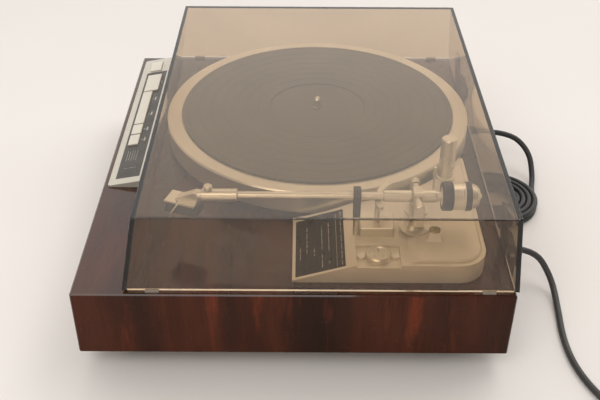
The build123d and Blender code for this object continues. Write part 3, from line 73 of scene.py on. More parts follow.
# ------------------------------------------------------------------ materials
class Shade:
    """A material on a Principled shader. Its patterns are read in object coordinates, in metres."""

    def __init__(self, name, **values):
        self.material = bpy.data.materials.new(name)
        self.material.use_nodes = True
        self.tree = self.material.node_tree
        self.tree.nodes.clear()
        self.output = self.node("ShaderNodeOutputMaterial")
        self.shader = self.node("ShaderNodeBsdfPrincipled")
        self.feed(self.output.inputs["Surface"], self.shader.outputs[0])
        self.place = self.node("ShaderNodeTexCoord").outputs["Object"]
        for key, value in values.items():
            socket = self.shader.inputs[key.replace("_", " ")]
            socket.default_value = value

    def node(self, kind, **settings):
        made = self.tree.nodes.new(kind)
        for key, value in settings.items():
            setattr(made, key, value)
        return made

    def feed(self, socket, value):
        """Link another node's socket to this one, or set it to a plain value."""
        if isinstance(value, bpy.types.NodeSocket):
            self.tree.links.new(value, socket)
        else:
            socket.default_value = value

    def noise(self, scale, detail, roughness, stretch=None, distortion=0.0):
        vector = self.place
        if stretch:
            mapping = self.node("ShaderNodeMapping")
            self.feed(mapping.inputs["Vector"], vector)
            mapping.inputs["Scale"].default_value = stretch
            vector = mapping.outputs[0]
        made = self.node("ShaderNodeTexNoise")
        self.feed(made.inputs["Vector"], vector)
        made.inputs["Scale"].default_value = scale
        made.inputs["Detail"].default_value = detail
        made.inputs["Roughness"].default_value = roughness
        made.inputs["Distortion"].default_value = distortion
        return made.outputs["Fac"]

    def math(self, operation, first, second=0.0):
        made = self.node("ShaderNodeMath", operation=operation)
        self.feed(made.inputs[0], first)
        self.feed(made.inputs[1], second)
        return made.outputs[0]

    def blend(self, first, share, second, other_share):
        """first x share + second x other_share."""
        return self.math("ADD", self.math("MULTIPLY", first, share),
                         self.math("MULTIPLY", second, other_share))

    def span(self, value, low, high, start=0.0, end=1.0):
        made = self.node("ShaderNodeMapRange")
        self.feed(made.inputs["Value"], value)
        made.inputs["From Min"].default_value = start
        made.inputs["From Max"].default_value = end
        made.inputs["To Min"].default_value = low
        made.inputs["To Max"].default_value = high
        return made.outputs[0]

    def ramp(self, value, *stops):
        made = self.node("ShaderNodeValToRGB")
        self.feed(made.inputs["Fac"], value)
        band = made.color_ramp
        while len(band.elements) < len(stops):
            band.elements.new(0.5)
        for element, (spot, colour) in zip(band.elements, stops):
            element.position = spot
            element.color = (*colour, 1)
        return made.outputs["Color"]

    def mix(self, factor, first, second, blend="MIX"):
        made = self.node("ShaderNodeMix", data_type="RGBA", blend_type=blend)
        self.feed(made.inputs[0], factor)
        for socket, value in ((made.inputs[6], first), (made.inputs[7], second)):
            self.feed(socket, (*value, 1) if isinstance(value, tuple) else value)
        return made.outputs[2]

    def parts_of(self, vector):
        made = self.node("ShaderNodeSeparateXYZ")
        self.feed(made.inputs[0], vector)
        return made.outputs

    def radius_round(self, centre):
        """Distance from the upright axis through centre."""
        made = self.node("ShaderNodeVectorMath", operation="SUBTRACT")
        self.feed(made.inputs[0], self.place)
        made.inputs[1].default_value = centre
        parts = self.parts_of(made.outputs[0])
        return self.math("SQRT", self.blend(parts["X"], parts["X"], parts["Y"], parts["Y"]))

    def colour(self, value):
        self.feed(self.shader.inputs["Base Color"], value)

    def rough(self, value):
        self.feed(self.shader.inputs["Roughness"], value)

    def bump(self, height, distance, strength):
        made = self.node("ShaderNodeBump")
        made.inputs["Strength"].default_value = strength
        made.inputs["Distance"].default_value = distance
        self.feed(made.inputs["Height"], height)
        self.feed(self.shader.inputs["Normal"], made.outputs[0])


def speckled(name, low, high, roughness, grain=900.0, depth=0.00004, **values):
    """Moulded, painted or cast stock: a soft drift of tone, a fine grain and rubbed spots."""
    shade = Shade(name, **values)
    drift = shade.noise(14.0, 4.0, 0.6)
    fine = shade.noise(grain, 2.0, 0.6)
    shade.colour(shade.ramp(shade.blend(drift, 0.7, fine, 0.3), (0.32, low), (0.68, high)))
    worn = shade.noise(60.0, 5.0, 0.7)
    shade.rough(shade.span(worn, roughness * 0.8, roughness * 1.25, 0.3, 0.7))
    shade.bump(fine, depth, 0.6)
    return shade


def brushed(name, low, high, roughness, direction, **values):
    """Drawn metal with fine lines along one direction, given as a scale on each axis."""
    shade = Shade(name, **values)
    lines = shade.noise(1.0, 3.0, 0.6, stretch=direction)
    drift = shade.noise(18.0, 3.0, 0.5)
    shade.colour(shade.ramp(shade.blend(lines, 0.55, drift, 0.45), (0.3, low), (0.7, high)))
    shade.rough(shade.span(lines, roughness * 0.75, roughness * 1.3, 0.3, 0.7))
    shade.bump(lines, 0.000004, 0.5)
    return shade


def turned(name, low, high, roughness, centre, pitch, **values):
    """Lathe-turned metal: faint rings round an upright axis, over a slow drift of tone."""
    shade = Shade(name, **values)
    radius = shade.radius_round(centre)
    cuts = shade.math("SINE", shade.math("MULTIPLY", radius, 2 * math.pi / pitch))
    drift = shade.noise(22.0, 2.0, 0.5)
    tone = shade.math("ADD", drift, shade.math("MULTIPLY", cuts, 0.03))
    shade.colour(shade.ramp(tone, (0.1, low), (0.9, high)))
    shade.rough(shade.span(shade.noise(12.0, 1.0, 0.5), roughness * 0.8, roughness * 1.25))
    shade.bump(cuts, 0.000001, 0.3)
    return shade


def ribbed_rubber():
    """The mat's rubber. Its texture is faint, because it is seen through the tint."""
    shade = Shade("mat_rubber", Specular_IOR_Level=0.4)
    drift = shade.noise(24.0, 2.0, 0.5)
    shade.colour(shade.ramp(drift, (0.1, (0.122, 0.112, 0.096)), (0.9, (0.176, 0.163, 0.140))))
    shade.rough(shade.span(shade.noise(12.0, 1.0, 0.5), 0.6, 0.75))
    shade.bump(shade.noise(90.0, 1.0, 0.5), 0.00003, 0.15)
    return shade


def rosewood():
    """Lacquered rosewood in dark and red stripes. The veneer's grain runs across the top and up
    the sides, so the front and rear faces take their stripes from X and the others from Y."""
    facing = 0.6  # part of the normal from which a face counts as looking that way
    shade = Shade("rosewood", IOR=1.5, Coat_Roughness=0.05, Specular_IOR_Level=0.08)
    normal = shade.parts_of(shade.node("ShaderNodeNewGeometry").outputs["Normal"])
    ends = shade.math("GREATER_THAN", shade.math("ABSOLUTE", normal["Y"]), facing)
    top = shade.math("GREATER_THAN", normal["Z"], facing)

    def grain(stripes, pores):
        broad = shade.noise(1.0, 4.0, 0.55, stretch=stripes, distortion=0.35)
        narrow = shade.noise(1.0, 5.0, 0.65, stretch=tuple(2.9 * s for s in stripes),
                             distortion=0.3)
        fine = shade.noise(1.0, 2.0, 0.6, stretch=pores)
        return broad, narrow, fine

    side = grain((1.6, 11.0, 1.3), (40.0, 900.0, 30.0))
    front = grain((11.0, 1.6, 1.3), (900.0, 40.0, 30.0))
    sides = shade.math("SUBTRACT", 1.0, ends)
    broad, narrow, fine = [shade.blend(one, sides, two, ends) for one, two in zip(side, front)]
    brown, black = (0.042, 0.0138, 0.0072), (0.004, 0.0025, 0.002)
    ground = shade.ramp(
        broad, (0.30, (0.016, 0.0068, 0.0045)), (0.44, brown), (0.54, (0.074, 0.0205, 0.0100)),
        (0.64, brown), (0.76, (0.018, 0.0076, 0.0052)),
    )
    red = shade.ramp(narrow, (0.55, (0, 0, 0)), (0.68, (0.085, 0.013, 0.004)),
                     (0.74, (0.018, 0.004, 0.002)))
    streaks = shade.mix(shade.span(top, 1.0, 0.25), ground, red, "ADD")
    shade.colour(shade.mix(shade.span(fine, 0.0, 0.45, 0.52, 0.75), streaks, black))
    shade.rough(shade.span(shade.noise(35.0, 5.0, 0.65), 0.16, 0.34, 0.3, 0.75))
    lacquer = shade.span(shade.noise(20.0, 4.0, 0.6), 0.05, 0.12, 0.3, 0.7)
    shade.feed(shade.shader.inputs["Coat Weight"],
               shade.math("ADD", shade.math("MULTIPLY", top, 0.64), lacquer))
    shade.bump(fine, 0.00001, 0.35)
    return shade


def tinted_cover():
    """Smoked bronze acrylic: it absorbs along the light's way, so it is deeper where light runs
    along it. The faint haze is dust. For lamps and diffuse light it is nearly clear."""
    shade = Shade("bronze_acrylic", IOR=1.4, Transmission_Weight=0.99, Roughness=0.0)
    haze = shade.noise(7.0, 3.0, 0.5)
    shade.colour(shade.ramp(haze, (0.3, (0.93, 0.90, 0.86)), (0.7, (0.97, 0.95, 0.92))))
    shade.bump(shade.noise(5.0, 2.0, 0.5), 0.00004, 0.15)
    inside = shade.node("ShaderNodeVolumeAbsorption")
    inside.inputs["Color"].default_value = (0.535, 0.335, 0.06, 1)
    inside.inputs["Density"].default_value = 141.0
    shade.feed(shade.output.inputs["Volume"], inside.outputs[0])
    clear = shade.node("ShaderNodeBsdfTransparent")
    clear.inputs["Color"].default_value = (0.985, 0.98, 0.975, 1)
    path = shade.node("ShaderNodeLightPath").outputs
    both = shade.node("ShaderNodeMixShader")
    shade.feed(both.inputs[0], shade.math("MAXIMUM", path["Is Shadow Ray"], path["Is Diffuse Ray"]))
    shade.feed(both.inputs[1], shade.shader.outputs[0])
    shade.feed(both.inputs[2], clear.outputs[0])
    shade.feed(shade.output.inputs["Surface"], both.outputs[0])
    return shade


def middle_of(node):
    low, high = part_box(node)
    return (low + high) / 2


# The two tones are a material's darker and lighter one; its roughness comes after them.
CHAMPAGNE = ((0.64, 0.605, 0.525), (0.745, 0.705, 0.62))
PALE_GOLD = ((0.71, 0.675, 0.59), (0.82, 0.785, 0.70))
PAINT_GRAIN = {"grain": 2200.0, "depth": 0.000015, "Metallic": 0.25}

champagne = speckled("champagne_satin", *PALE_GOLD, 0.31, grain=1500.0, depth=0.000002,
                     Metallic=0.75)
paint = speckled("champagne_paint", (0.74, 0.69, 0.59), (0.81, 0.76, 0.66), 0.36, **PAINT_GRAIN)
panel_paint = speckled("panel_paint", (0.49, 0.455, 0.385), (0.55, 0.51, 0.435), 0.36,
                       **PAINT_GRAIN)
drawn = brushed("champagne_drawn", *PALE_GOLD, 0.31, (2600.0, 30.0, 2600.0), Metallic=0.85)
lathe = turned("champagne_turned", *CHAMPAGNE, 0.3, tuple(middle_of("platter")), 3.4 * MM,
               Metallic=0.8)
weight_metal = brushed("champagne_weight", *PALE_GOLD, 0.32, (40.0, 2200.0, 40.0), Metallic=0.85)
dark_ring = speckled("black_anodised", (0.018, 0.017, 0.016), (0.035, 0.033, 0.030), 0.38,
                     Metallic=0.3)
plate_black = speckled("plate_black", (0.016, 0.013, 0.011), (0.026, 0.021, 0.017), 0.3,
                       grain=1800.0, depth=0.000006, Specular_IOR_Level=0.25)
black_plastic = speckled("black_plastic", (0.028, 0.022, 0.016), (0.048, 0.039, 0.030), 0.42)
foot_black = speckled("foot_plastic", (0.012, 0.012, 0.012), (0.026, 0.025, 0.024), 0.35)
rubber = speckled("rubber", (0.014, 0.014, 0.014), (0.034, 0.033, 0.032), 0.75, grain=1400.0)
clear_rubber = speckled("clear_rubber", (0.50, 0.43, 0.35), (0.62, 0.55, 0.46), 0.35,
                        grain=1400.0, depth=0.00001, Transmission_Weight=0.6)
cord_black = speckled("cord_vinyl", (0.013, 0.013, 0.013), (0.030, 0.029, 0.028), 0.45,
                      grain=500.0)
lead_grey = speckled("lead_vinyl", (0.028, 0.026, 0.024), (0.050, 0.047, 0.044), 0.48,
                     grain=500.0)
plug_black = speckled("plug_vinyl", (0.014, 0.013, 0.013), (0.030, 0.029, 0.028), 0.5,
                      grain=700.0)
chrome = speckled("bright_metal", (0.66, 0.64, 0.60), (0.78, 0.76, 0.72), 0.14, grain=600.0,
                  depth=0.000005, Metallic=1.0)
steel = speckled("plated_steel", (0.42, 0.40, 0.37), (0.56, 0.54, 0.50), 0.32, Metallic=0.95)
cream = speckled("cream_button", (0.62, 0.575, 0.49), (0.70, 0.65, 0.56), 0.34, grain=1600.0,
                 depth=0.00001)
pale_plate = speckled("pale_plate", (0.84, 0.79, 0.72), (0.91, 0.87, 0.80), 0.3, Metallic=0.3)
olive = speckled("olive_cap", (0.34, 0.29, 0.16), (0.44, 0.38, 0.23), 0.3, Metallic=0.5)
board = speckled("fibreboard", (0.17, 0.115, 0.07), (0.27, 0.19, 0.12), 0.8, grain=350.0,
                 depth=0.0001)
circuit = speckled("circuit_green", (0.020, 0.085, 0.032), (0.035, 0.13, 0.05), 0.4, grain=500.0)
iron = brushed("laminated_iron", (0.10, 0.095, 0.09), (0.20, 0.19, 0.18), 0.5,
               (10.0, 10.0, 2400.0), Metallic=0.7)
magnet = speckled("ferrite", (0.035, 0.035, 0.036), (0.06, 0.06, 0.062), 0.6)
motor_metal = brushed("motor_pan", (0.32, 0.31, 0.29), (0.44, 0.43, 0.40), 0.4,
                      (1200.0, 40.0, 40.0), Metallic=0.85)
lens = speckled("lens_amber", (0.50, 0.44, 0.33), (0.62, 0.56, 0.44), 0.12,
                Transmission_Weight=0.3)
hinge_metal = speckled("hinge_black", (0.022, 0.021, 0.020), (0.042, 0.040, 0.037), 0.42,
                       Metallic=0.4)
print_pale = speckled("print_pale", (0.42, 0.39, 0.34), (0.54, 0.51, 0.45), 0.6)
print_dark = speckled("print_dark", (0.03, 0.028, 0.025), (0.05, 0.046, 0.042), 0.6)
tie_white = speckled("tie_paper", (0.50, 0.48, 0.44), (0.62, 0.60, 0.55), 0.6)
wood = rosewood()
acrylic = tinted_cover()
mat_rubber = ribbed_rubber()

BY_SLOT = {
    "rosewood": wood, "board": board, "rubber": rubber, "foot_plastic": foot_black,
    "steel": steel, "bright": chrome, "champagne": champagne, "champagne_paint": paint,
    "dark_metal": hinge_metal, "dark_plastic": black_plastic, "button": cream, "olive": olive,
    "lens": lens, "mat_rubber": mat_rubber, "magnet": magnet, "circuit": circuit, "iron": iron,
    "motor_metal": motor_metal, "tint": acrylic, "cord": cord_black, "lead": lead_grey,
    "plug": plug_black,
}
BY_NODE = {
    "platter": lathe, "arm_tube": drawn, "arm_collar": drawn, "arm_hub": drawn,
    "counterweight": weight_metal, "weight_dial": dark_ring, "info_plate": plate_black,
    "lifter": champagne, "panel_frame": panel_paint, "hinge_pins": steel,
    "cue_foot": pale_plate, "screws": pale_plate, "cover_buffers": clear_rubber,
}
slots = {part["node"]: part["material_slot"] for part in frame["record"]["subparts"]}
for name, obj in frame["nodes"].items():
    shade = BY_NODE.get(name) or BY_SLOT[slots[name]]
    for spot in obj.material_slots:
        spot.material = shade.material


# ------------------------------------------------------------------ making pieces
def piece(name, shape, body, shade, smooth=None):
    """A mesh piece from a bmesh, riding on a body. Faces that meet at less than smooth, in
    degrees, are shaded as one surface."""
    mesh = bpy.data.meshes.new(name)
    shape.to_mesh(mesh)
    shape.free()
    obj = bpy.data.objects.new(name, mesh)
    scene.collection.objects.link(obj)
    mesh.materials.append(shade.material)
    if smooth is not None:
        for face in mesh.polygons:
            face.use_smooth = True
        mesh.set_sharp_from_angle(angle=math.radians(smooth))
    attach(obj, body)
    return obj


def at(x, y, z=0.0):
    """A move by millimetres."""
    return Matrix.Translation((x * MM, y * MM, z * MM))


def lathe_shape(profile, steps, place):
    """A (radius, height) profile turned round Z, then set in place."""
    shape = bmesh.new()
    rows = []
    for k in range(steps):
        a = 2 * math.pi * k / steps
        rows.append([shape.verts.new(place @ Vector((r * math.cos(a), r * math.sin(a), z)))
                     for r, z in profile])
    for k in range(steps):
        here, there = rows[k], rows[(k + 1) % steps]
        for j in range(len(profile) - 1):
            shape.faces.new((here[j], there[j], there[j + 1], here[j + 1]))
    return shape


# ------------------------------------------------------------------ cords, in millimetres
PER_TURN = 16  # control points


def winding(centre, start, holds, turns):
    """Control points of a coil, wound clockwise from the angle start. Each hold is (from turn,
    to turn, radius, height); between two holds the cord eases from one to the next."""
    def circle(turn):
        count = len([hold for hold in holds if hold[0] <= turn])
        _, leaves, *here = holds[count - 1]
        if turn <= leaves:
            return here
        arrives, _, *there = holds[count]
        share = (turn - leaves) / (arrives - leaves)
        ease = share * share * (3 - 2 * share)
        return [a + (b - a) * ease for a, b in zip(here, there)]

    # The quadratic spline runs inside its control points; this puts it back on the circle.
    outward = 1 / (0.75 + 0.25 * math.cos(2 * math.pi / PER_TURN))
    points = []
    for k in range(int(turns * PER_TURN) + 1):
        radius, height = circle(k / PER_TURN)
        angle = math.radians(start) - 2 * math.pi * k / PER_TURN
        points.append((centre[0] + outward * radius * math.cos(angle),
                       centre[1] + outward * radius * math.sin(angle), height))
    return points


def cord_curve(name, points, diameter, shade, body="plinth"):
    """One quadratic NURBS spline along the cord's control points."""
    curve = bpy.data.curves.new(name, "CURVE")
    curve.dimensions = "3D"
    curve.resolution_u = 6
    curve.bevel_depth = diameter * MM / 2
    curve.bevel_resolution = 4
    curve.use_fill_caps = True
    spline = curve.splines.new("NURBS")
    spline.points.add(len(points) - 1)
    for spot, (x, y, z) in zip(spline.points, points):
        spot.co = (x * MM, y * MM, z * MM, 1)
    spline.order_u = 3
    spline.use_endpoint_u = True
    obj = bpy.data.objects.new(name, curve)
    scene.collection.objects.link(obj)
    curve.materials.append(shade.material)
    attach(obj, body)
    return obj


TIE_STEPS = 28
TIE_SKIN = 0.5  # thickness outwards of the loop
TIE_LOWEST = 0.1  # clear of the floor
# The tie's section: outwards in skins, and along the cord.
TIE_SECTION = ((0.1, -2.0), (1, -1.7), (1.3, 0), (1, 1.7), (0.1, 2.0))


def tie(name, centre, angle, mid_radius, half_wide, half_high, middle):
    """A paper tie round a coil's turns at one angle: a rounded square loop at height middle."""
    shape = bmesh.new()
    a = math.radians(angle)
    out = Vector((math.cos(a), math.sin(a), 0))
    along = Vector((-math.sin(a), math.cos(a), 0))
    rings = []
    for k in range(TIE_STEPS):
        b = 2 * math.pi * k / TIE_STEPS
        c, s = math.cos(b), math.sin(b)
        wide = half_wide * math.copysign(abs(c) ** 0.5, c)
        high = half_high * math.copysign(abs(s) ** 0.5, s)
        spot = Vector((*centre, middle)) + out * (mid_radius + wide) + Vector((0, 0, high))
        skin = out * (TIE_SKIN * c) + Vector((0, 0, TIE_SKIN * s))
        row = [spot + skin * m + along * n for m, n in TIE_SECTION]
        rings.append([shape.verts.new(Vector((v.x, v.y, max(v.z, TIE_LOWEST))) * MM)
                      for v in row])
    for k in range(TIE_STEPS):
        here, there = rings[k], rings[(k + 1) % TIE_STEPS]
        for j in range(len(TIE_SECTION) - 1):
            shape.faces.new((here[j], here[j + 1], there[j + 1], there[j]))
    return piece(name, shape, "plinth", tie_white, 60)


# The mains cord: four turns on the floor going inwards, the rest on top of them going outwards.
MAINS_D = 6.5
MAINS_CENTRE = (-39.0, 224.5)
MAINS_LOW, MAINS_HIGH = 3.25, 9.75
CIRCLE_1, CIRCLE_2, CIRCLE_3, CIRCLE_4 = 43.75, 37.25, 30.75, 24.25
MAINS_TIE = (34.0, 13.4, 6.9, 6.5)  # middle's radius, half width, half height, middle's height
mains_holds = [
    (0.0, 0.8, CIRCLE_1, MAINS_LOW), (1.0, 1.8, CIRCLE_2, MAINS_LOW),
    (2.0, 2.8, CIRCLE_3, MAINS_LOW), (3.0, 3.8, CIRCLE_4, MAINS_LOW),
    (4.0, 4.5, CIRCLE_4, MAINS_HIGH), (4.7, 5.5, CIRCLE_3, MAINS_HIGH),
    (5.7, 6.5, CIRCLE_2, MAINS_HIGH), (6.7, 8.0, CIRCLE_1, MAINS_HIGH),
]
mains_points = [
    (-128.0, 216.75, 44.0), (-128.0, 251.0, 44.0), (-112.0, 275.0, 27.0), (-84.0, 276.0, 9.0),
    (-62.0, 270.5, 3.25),
] + winding(MAINS_CENTRE, 95, mains_holds, 7.5) + [
    (-54.0, 180.5, 7.5), (-74.0, 183.5, 3.25), (-96.0, 193.0, 6.0),
]
mains = cord_curve("mains_lead", mains_points, MAINS_D, cord_black)
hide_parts("mains_cord", "mains_coil")
mains_ties = [
    tie("mains_tie_a", MAINS_CENTRE, 20, *MAINS_TIE),
    tie("mains_tie_b", MAINS_CENTRE, 200, *MAINS_TIE),
]

# The signal cord: two circles on the floor going inwards, then two on top going outwards.
LEAD_D = 6.4
LEAD_CENTRE = (330.0, 262.0)
LEAD_LOW, LEAD_HIGH = 3.2, 9.6
LEAD_OUTER, LEAD_INNER = 37.2, 30.8
LEAD_TIE = (34.0, 6.9, 6.9, 6.4)  # as MAINS_TIE
lead_holds = [
    (0.0, 0.8, LEAD_OUTER, LEAD_LOW), (1.0, 1.8, LEAD_INNER, LEAD_LOW),
    (2.0, 2.3, LEAD_INNER, LEAD_HIGH), (2.5, 4.0, LEAD_OUTER, LEAD_HIGH),
]
lead_points = [
    (92.0, 210.75, 38.0), (92.0, 237.0, 38.0), (106.0, 255.0, 13.0), (140.0, 255.5, 3.2),
    (186.0, 250.0, 3.2), (226.0, 253.0, 3.2), (262.0, 267.0, 3.2), (294.0, 290.0, 3.2),
] + winding(LEAD_CENTRE, 100, lead_holds, 3.25) + [
    (366.0, 243.0, 7.4), (361.0, 226.0, 4.0), (352.0, 209.0, 5.0),
]
signal = cord_curve("signal_cable", lead_points, LEAD_D, lead_grey)
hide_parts("signal_lead", "signal_coil")
lead_ties = [
    tie("signal_tie_a", LEAD_CENTRE, 170, *LEAD_TIE),
    tie("signal_tie_b", LEAD_CENTRE, -60, *LEAD_TIE),
]


# ------------------------------------------------------------------ the cover, glued from sheets
COVER_WALL, COVER_ROOF = 4.0 * MM, 3.2 * MM
LEAN_SIDES, LEAN_FRONT, LEAN_REAR = 8.2 * MM, 13.3 * MM, 5.8 * MM
CORNER_ROUND, RIM_BREAK = 0.9 * MM, 0.3 * MM
SAME = 1e-6


def tapered(shape, low, high, share, inset):
    """Eight corners of the leaning box from low to high; share is how much of the lean its
    top has, and inset brings the walls inwards."""
    rings = []
    for z, f in ((low.z, 0.0), (high.z, share)):
        x0, x1 = low.x + f * LEAN_SIDES + inset, high.x - f * LEAN_SIDES - inset
        y0, y1 = low.y + f * LEAN_FRONT + inset, high.y - f * LEAN_REAR - inset
        corners = ((x0, y0, z), (x1, y0, z), (x1, y1, z), (x0, y1, z))
        rings.append([shape.verts.new(corner) for corner in corners])
    return rings


def cover_shell(low, high):
    """Four leaning walls and a top with crisp polished corners, open below."""
    shape = bmesh.new()
    outer = tapered(shape, low, high, 1.0, 0.0)
    ceiling = Vector((high.x, high.y, high.z - COVER_ROOF))
    inner = tapered(shape, low, ceiling, 1 - COVER_ROOF / (high.z - low.z), COVER_WALL)
    shape.faces.new(outer[1])
    shape.faces.new(inner[1][::-1])
    for k in range(4):
        n = (k + 1) % 4
        shape.faces.new((outer[0][k], outer[0][n], outer[1][n], outer[1][k]))
        shape.faces.new((inner[0][n], inner[0][k], inner[1][k], inner[1][n]))
        shape.faces.new((outer[0][n], outer[0][k], inner[0][k], inner[0][n]))
    shape.normal_update()
    bmesh.ops.recalc_face_normals(shape, faces=shape.faces)
    top_ring = set(outer[1])
    corners = [e for e in shape.edges if e.verts[0] in top_ring or e.verts[1] in top_ring]
    bmesh.ops.bevel(shape, geom=corners, offset=CORNER_ROUND, segments=3, profile=0.5,
                    affect="EDGES")
    rim = [e for e in shape.edges if all(abs(v.co.z - low.z) < SAME for v in e.verts)]
    bmesh.ops.bevel(shape, geom=rim, offset=RIM_BREAK, segments=1, profile=0.5, affect="EDGES")
    return shape


shell = piece("cover_shell", cover_shell(*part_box("dust_cover")), "cover", acrylic)
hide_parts("dust_cover")


# ------------------------------------------------------------------ the mat, with its grooves
MAT_HOLE, MAT_BREAK, MAT_BORDER = 5.4 * MM, 0.6 * MM, 4.5 * MM
GROOVE_WIDE, GROOVE_DEEP, GROOVE_PITCH = 1.4 * MM, 0.3 * MM, 12.8 * MM
GROOVES_END = 62.0 * MM  # no groove starts inside this radius
WELL_RADIUS, WELL_SLOPE, WELL_DEEP = 52.0 * MM, 1.0 * MM, 0.8 * MM  # for the record's label

mat_low, mat_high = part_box("mat")
base, top = mat_low.z, mat_high.z
edge = (mat_high.x - mat_low.x) / 2
spot = edge - MAT_BORDER
profile = [(MAT_HOLE, base), (edge, base), (edge, top - MAT_BREAK), (edge - MAT_BREAK, top),
           (spot, top)]
while spot > GROOVES_END:
    profile += [(spot - GROOVE_DEEP, top - GROOVE_DEEP),
                (spot - GROOVE_WIDE + GROOVE_DEEP, top - GROOVE_DEEP),
                (spot - GROOVE_WIDE, top)]
    spot -= GROOVE_PITCH
    profile.append((spot, top))
profile += [(WELL_RADIUS, top), (WELL_RADIUS - WELL_SLOPE, top - WELL_DEEP),
            (MAT_HOLE, top - WELL_DEEP), (MAT_HOLE, base)]
mat_axis = middle_of("mat")
ribbed = piece("mat_ribbed",
               lathe_shape(profile, 180, Matrix.Translation((mat_axis.x, mat_axis.y, 0))),
               "turntable", mat_rubber, 30)
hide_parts("mat")


# ------------------------------------------------------------------ printing, in millimetres
BAR_THICK, FIGURE_HALF = 0.04, 0.02
BAR_SLOPE = 0.15  # part of a bar's lesser side that its sloping edge takes


def slab(shape, place, x, y, wide, deep, thick=BAR_THICK):
    """A thin bar with sloping edges lying on a plane, its middle at x, y."""
    square = ((-1, -1), (1, -1), (1, 1), (-1, 1))
    inset = min(wide, deep) * BAR_SLOPE
    low, high = [
        [shape.verts.new(place @ (Vector((x + sx * (wide / 2 - back), y + sy * (deep / 2 - back),
                                          z)) * MM)) for sx, sy in square]
        for back, z in ((0.0, 0.0), (inset, thick))
    ]
    shape.faces.new(high)
    for k in range(4):
        n = (k + 1) % 4
        shape.faces.new((low[k], low[n], high[n], high[k]))


def numeral(shape, text, size, place):
    """Plain figures lying on a plane."""
    curve = bpy.data.curves.new("figures", "FONT")
    curve.body = text
    curve.size = size * MM
    curve.align_x = "CENTER"
    curve.align_y = "CENTER"
    curve.extrude = FIGURE_HALF * MM
    curve.resolution_u = 3
    holder = bpy.data.objects.new("figures", curve)
    scene.collection.objects.link(holder)
    bpy.context.view_layer.update()
    depsgraph = bpy.context.evaluated_depsgraph_get()
    mesh = bpy.data.meshes.new_from_object(holder.evaluated_get(depsgraph))
    mesh.transform(place @ at(0, 0, FIGURE_HALF))
    shape.from_mesh(mesh)
    bpy.data.objects.remove(holder)
    bpy.data.curves.remove(curve)
    bpy.data.meshes.remove(mesh)


def slanted(x, y, height, rise, run):
    """The plane of a slope over the deck: X across it from its low edge's corner, Y up it."""
    corner = Matrix.Translation((x, y, deck_z + height * MM))
    return corner @ Matrix.Rotation(math.atan2(rise, run), 4, "X")


# Heights over the deck and plan lengths of the two slopes, as in the CAD.
PANEL_LOW, PANEL_HIGH, PANEL_RUN = 1.4, 8.0, 35.0
RAMP_LOW, PLATEAU, RAMP_RUN = 2.0, 19.3, 56.0
POCKET_DEEP = 2.6

frame_low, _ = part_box("panel_frame")
deck_z = frame_low.z
panel_plane = slanted(frame_low.x, frame_low.y, PANEL_LOW, PANEL_HIGH - PANEL_LOW, PANEL_RUN)
base_low, base_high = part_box("arm_base")
ramp_plane = slanted(base_high.x, base_low.y, RAMP_LOW, PLATEAU - RAMP_LOW, RAMP_RUN)

# Panel: the two speeds, a tick at the other buttons, and lines of print at the right.
marks = bmesh.new()
for x, text in ((171.2, "33"), (193.2, "45")):
    numeral(marks, text, 3.2, panel_plane @ at(x, 23.0))
ticks = [(63.7, 28.6, 6.0, 0.4), (103.0, 23.2, 4.0, 0.4), (138.0, 23.2, 4.0, 0.4)]
lines = [(224.0, 12.0 + 2.6 * k, 20.0 - 3.0 * (k % 2), 0.3) for k in range(5)]
for x, y, wide, deep in (*ticks, *lines, (248.0, 18.5, 0.4, 13.0)):
    slab(marks, panel_plane, x, y, wide, deep)
piece("panel_marks", marks, "plinth", print_pale)

# Information plate: rows of bars for words, as (y, first, last) from the ramp's low corner.
WORDS, GAPS = (1.6, 3.1, 2.2, 4.0, 1.2, 2.7), (0.9, 1.0, 2.6)
marks = bmesh.new()
rows = [(7.5, 25, 43), (13.8, 32, 70), (20.8, 27, 38), (28.0, 8, 27), (28.0, 34, 66),
        (34.5, 12, 15), (34.5, 30, 72), (46.2, 6, 78)]
for n, (y, first, last) in enumerate(rows):
    x, k = first, n
    while x < last:
        wide = WORDS[k % len(WORDS)]
        slab(marks, ramp_plane, -(x + wide / 2), y, wide, 0.8)
        x += wide + GAPS[k % len(GAPS)]
        k += 1
slab(marks, ramp_plane, -42.0, 41.5, 74.0, 0.4)
piece("plate_marks", marks, "plinth", print_pale)

# Bias dial: a scale on the pocket's floor, a pointer and figures on the knob.
DIAL_BAR = 0.05
SCALE_MARKS, SCALE_FIRST, SCALE_STEP, SCALE_RADIUS = 13, -225, 22.5, 11.7
KNOB_STEP = 0.7  # the knob's printed face under its highest point
dial = middle_of("bias_dial")
marks = bmesh.new()
around = Matrix.Translation((dial.x, dial.y, deck_z + (PLATEAU - POCKET_DEEP) * MM))
for k in range(SCALE_MARKS):
    turned_to = Matrix.Rotation(math.radians(SCALE_FIRST + SCALE_STEP * k), 4, "Z")
    long = 1.4 if k % 4 == 0 else 0.8
    slab(marks, around @ turned_to, SCALE_RADIUS + long / 2, 0, long, 0.22, DIAL_BAR)
piece("bias_scale", marks, "plinth", print_dark)

marks = bmesh.new()
_, dial_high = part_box("bias_dial")
knob_top = Matrix.Translation((dial.x, dial.y, dial_high.z - KNOB_STEP * MM))
slab(marks, knob_top, -4.5, 0, 5.0, 0.6, DIAL_BAR)
for k in range(4):
    turned_to = Matrix.Rotation(math.radians(90 * k + 45), 4, "Z")
    numeral(marks, str(k), 2.6, knob_top @ turned_to @ at(5.2, 0))
piece("bias_marks", marks, "bias_dial", print_dark)

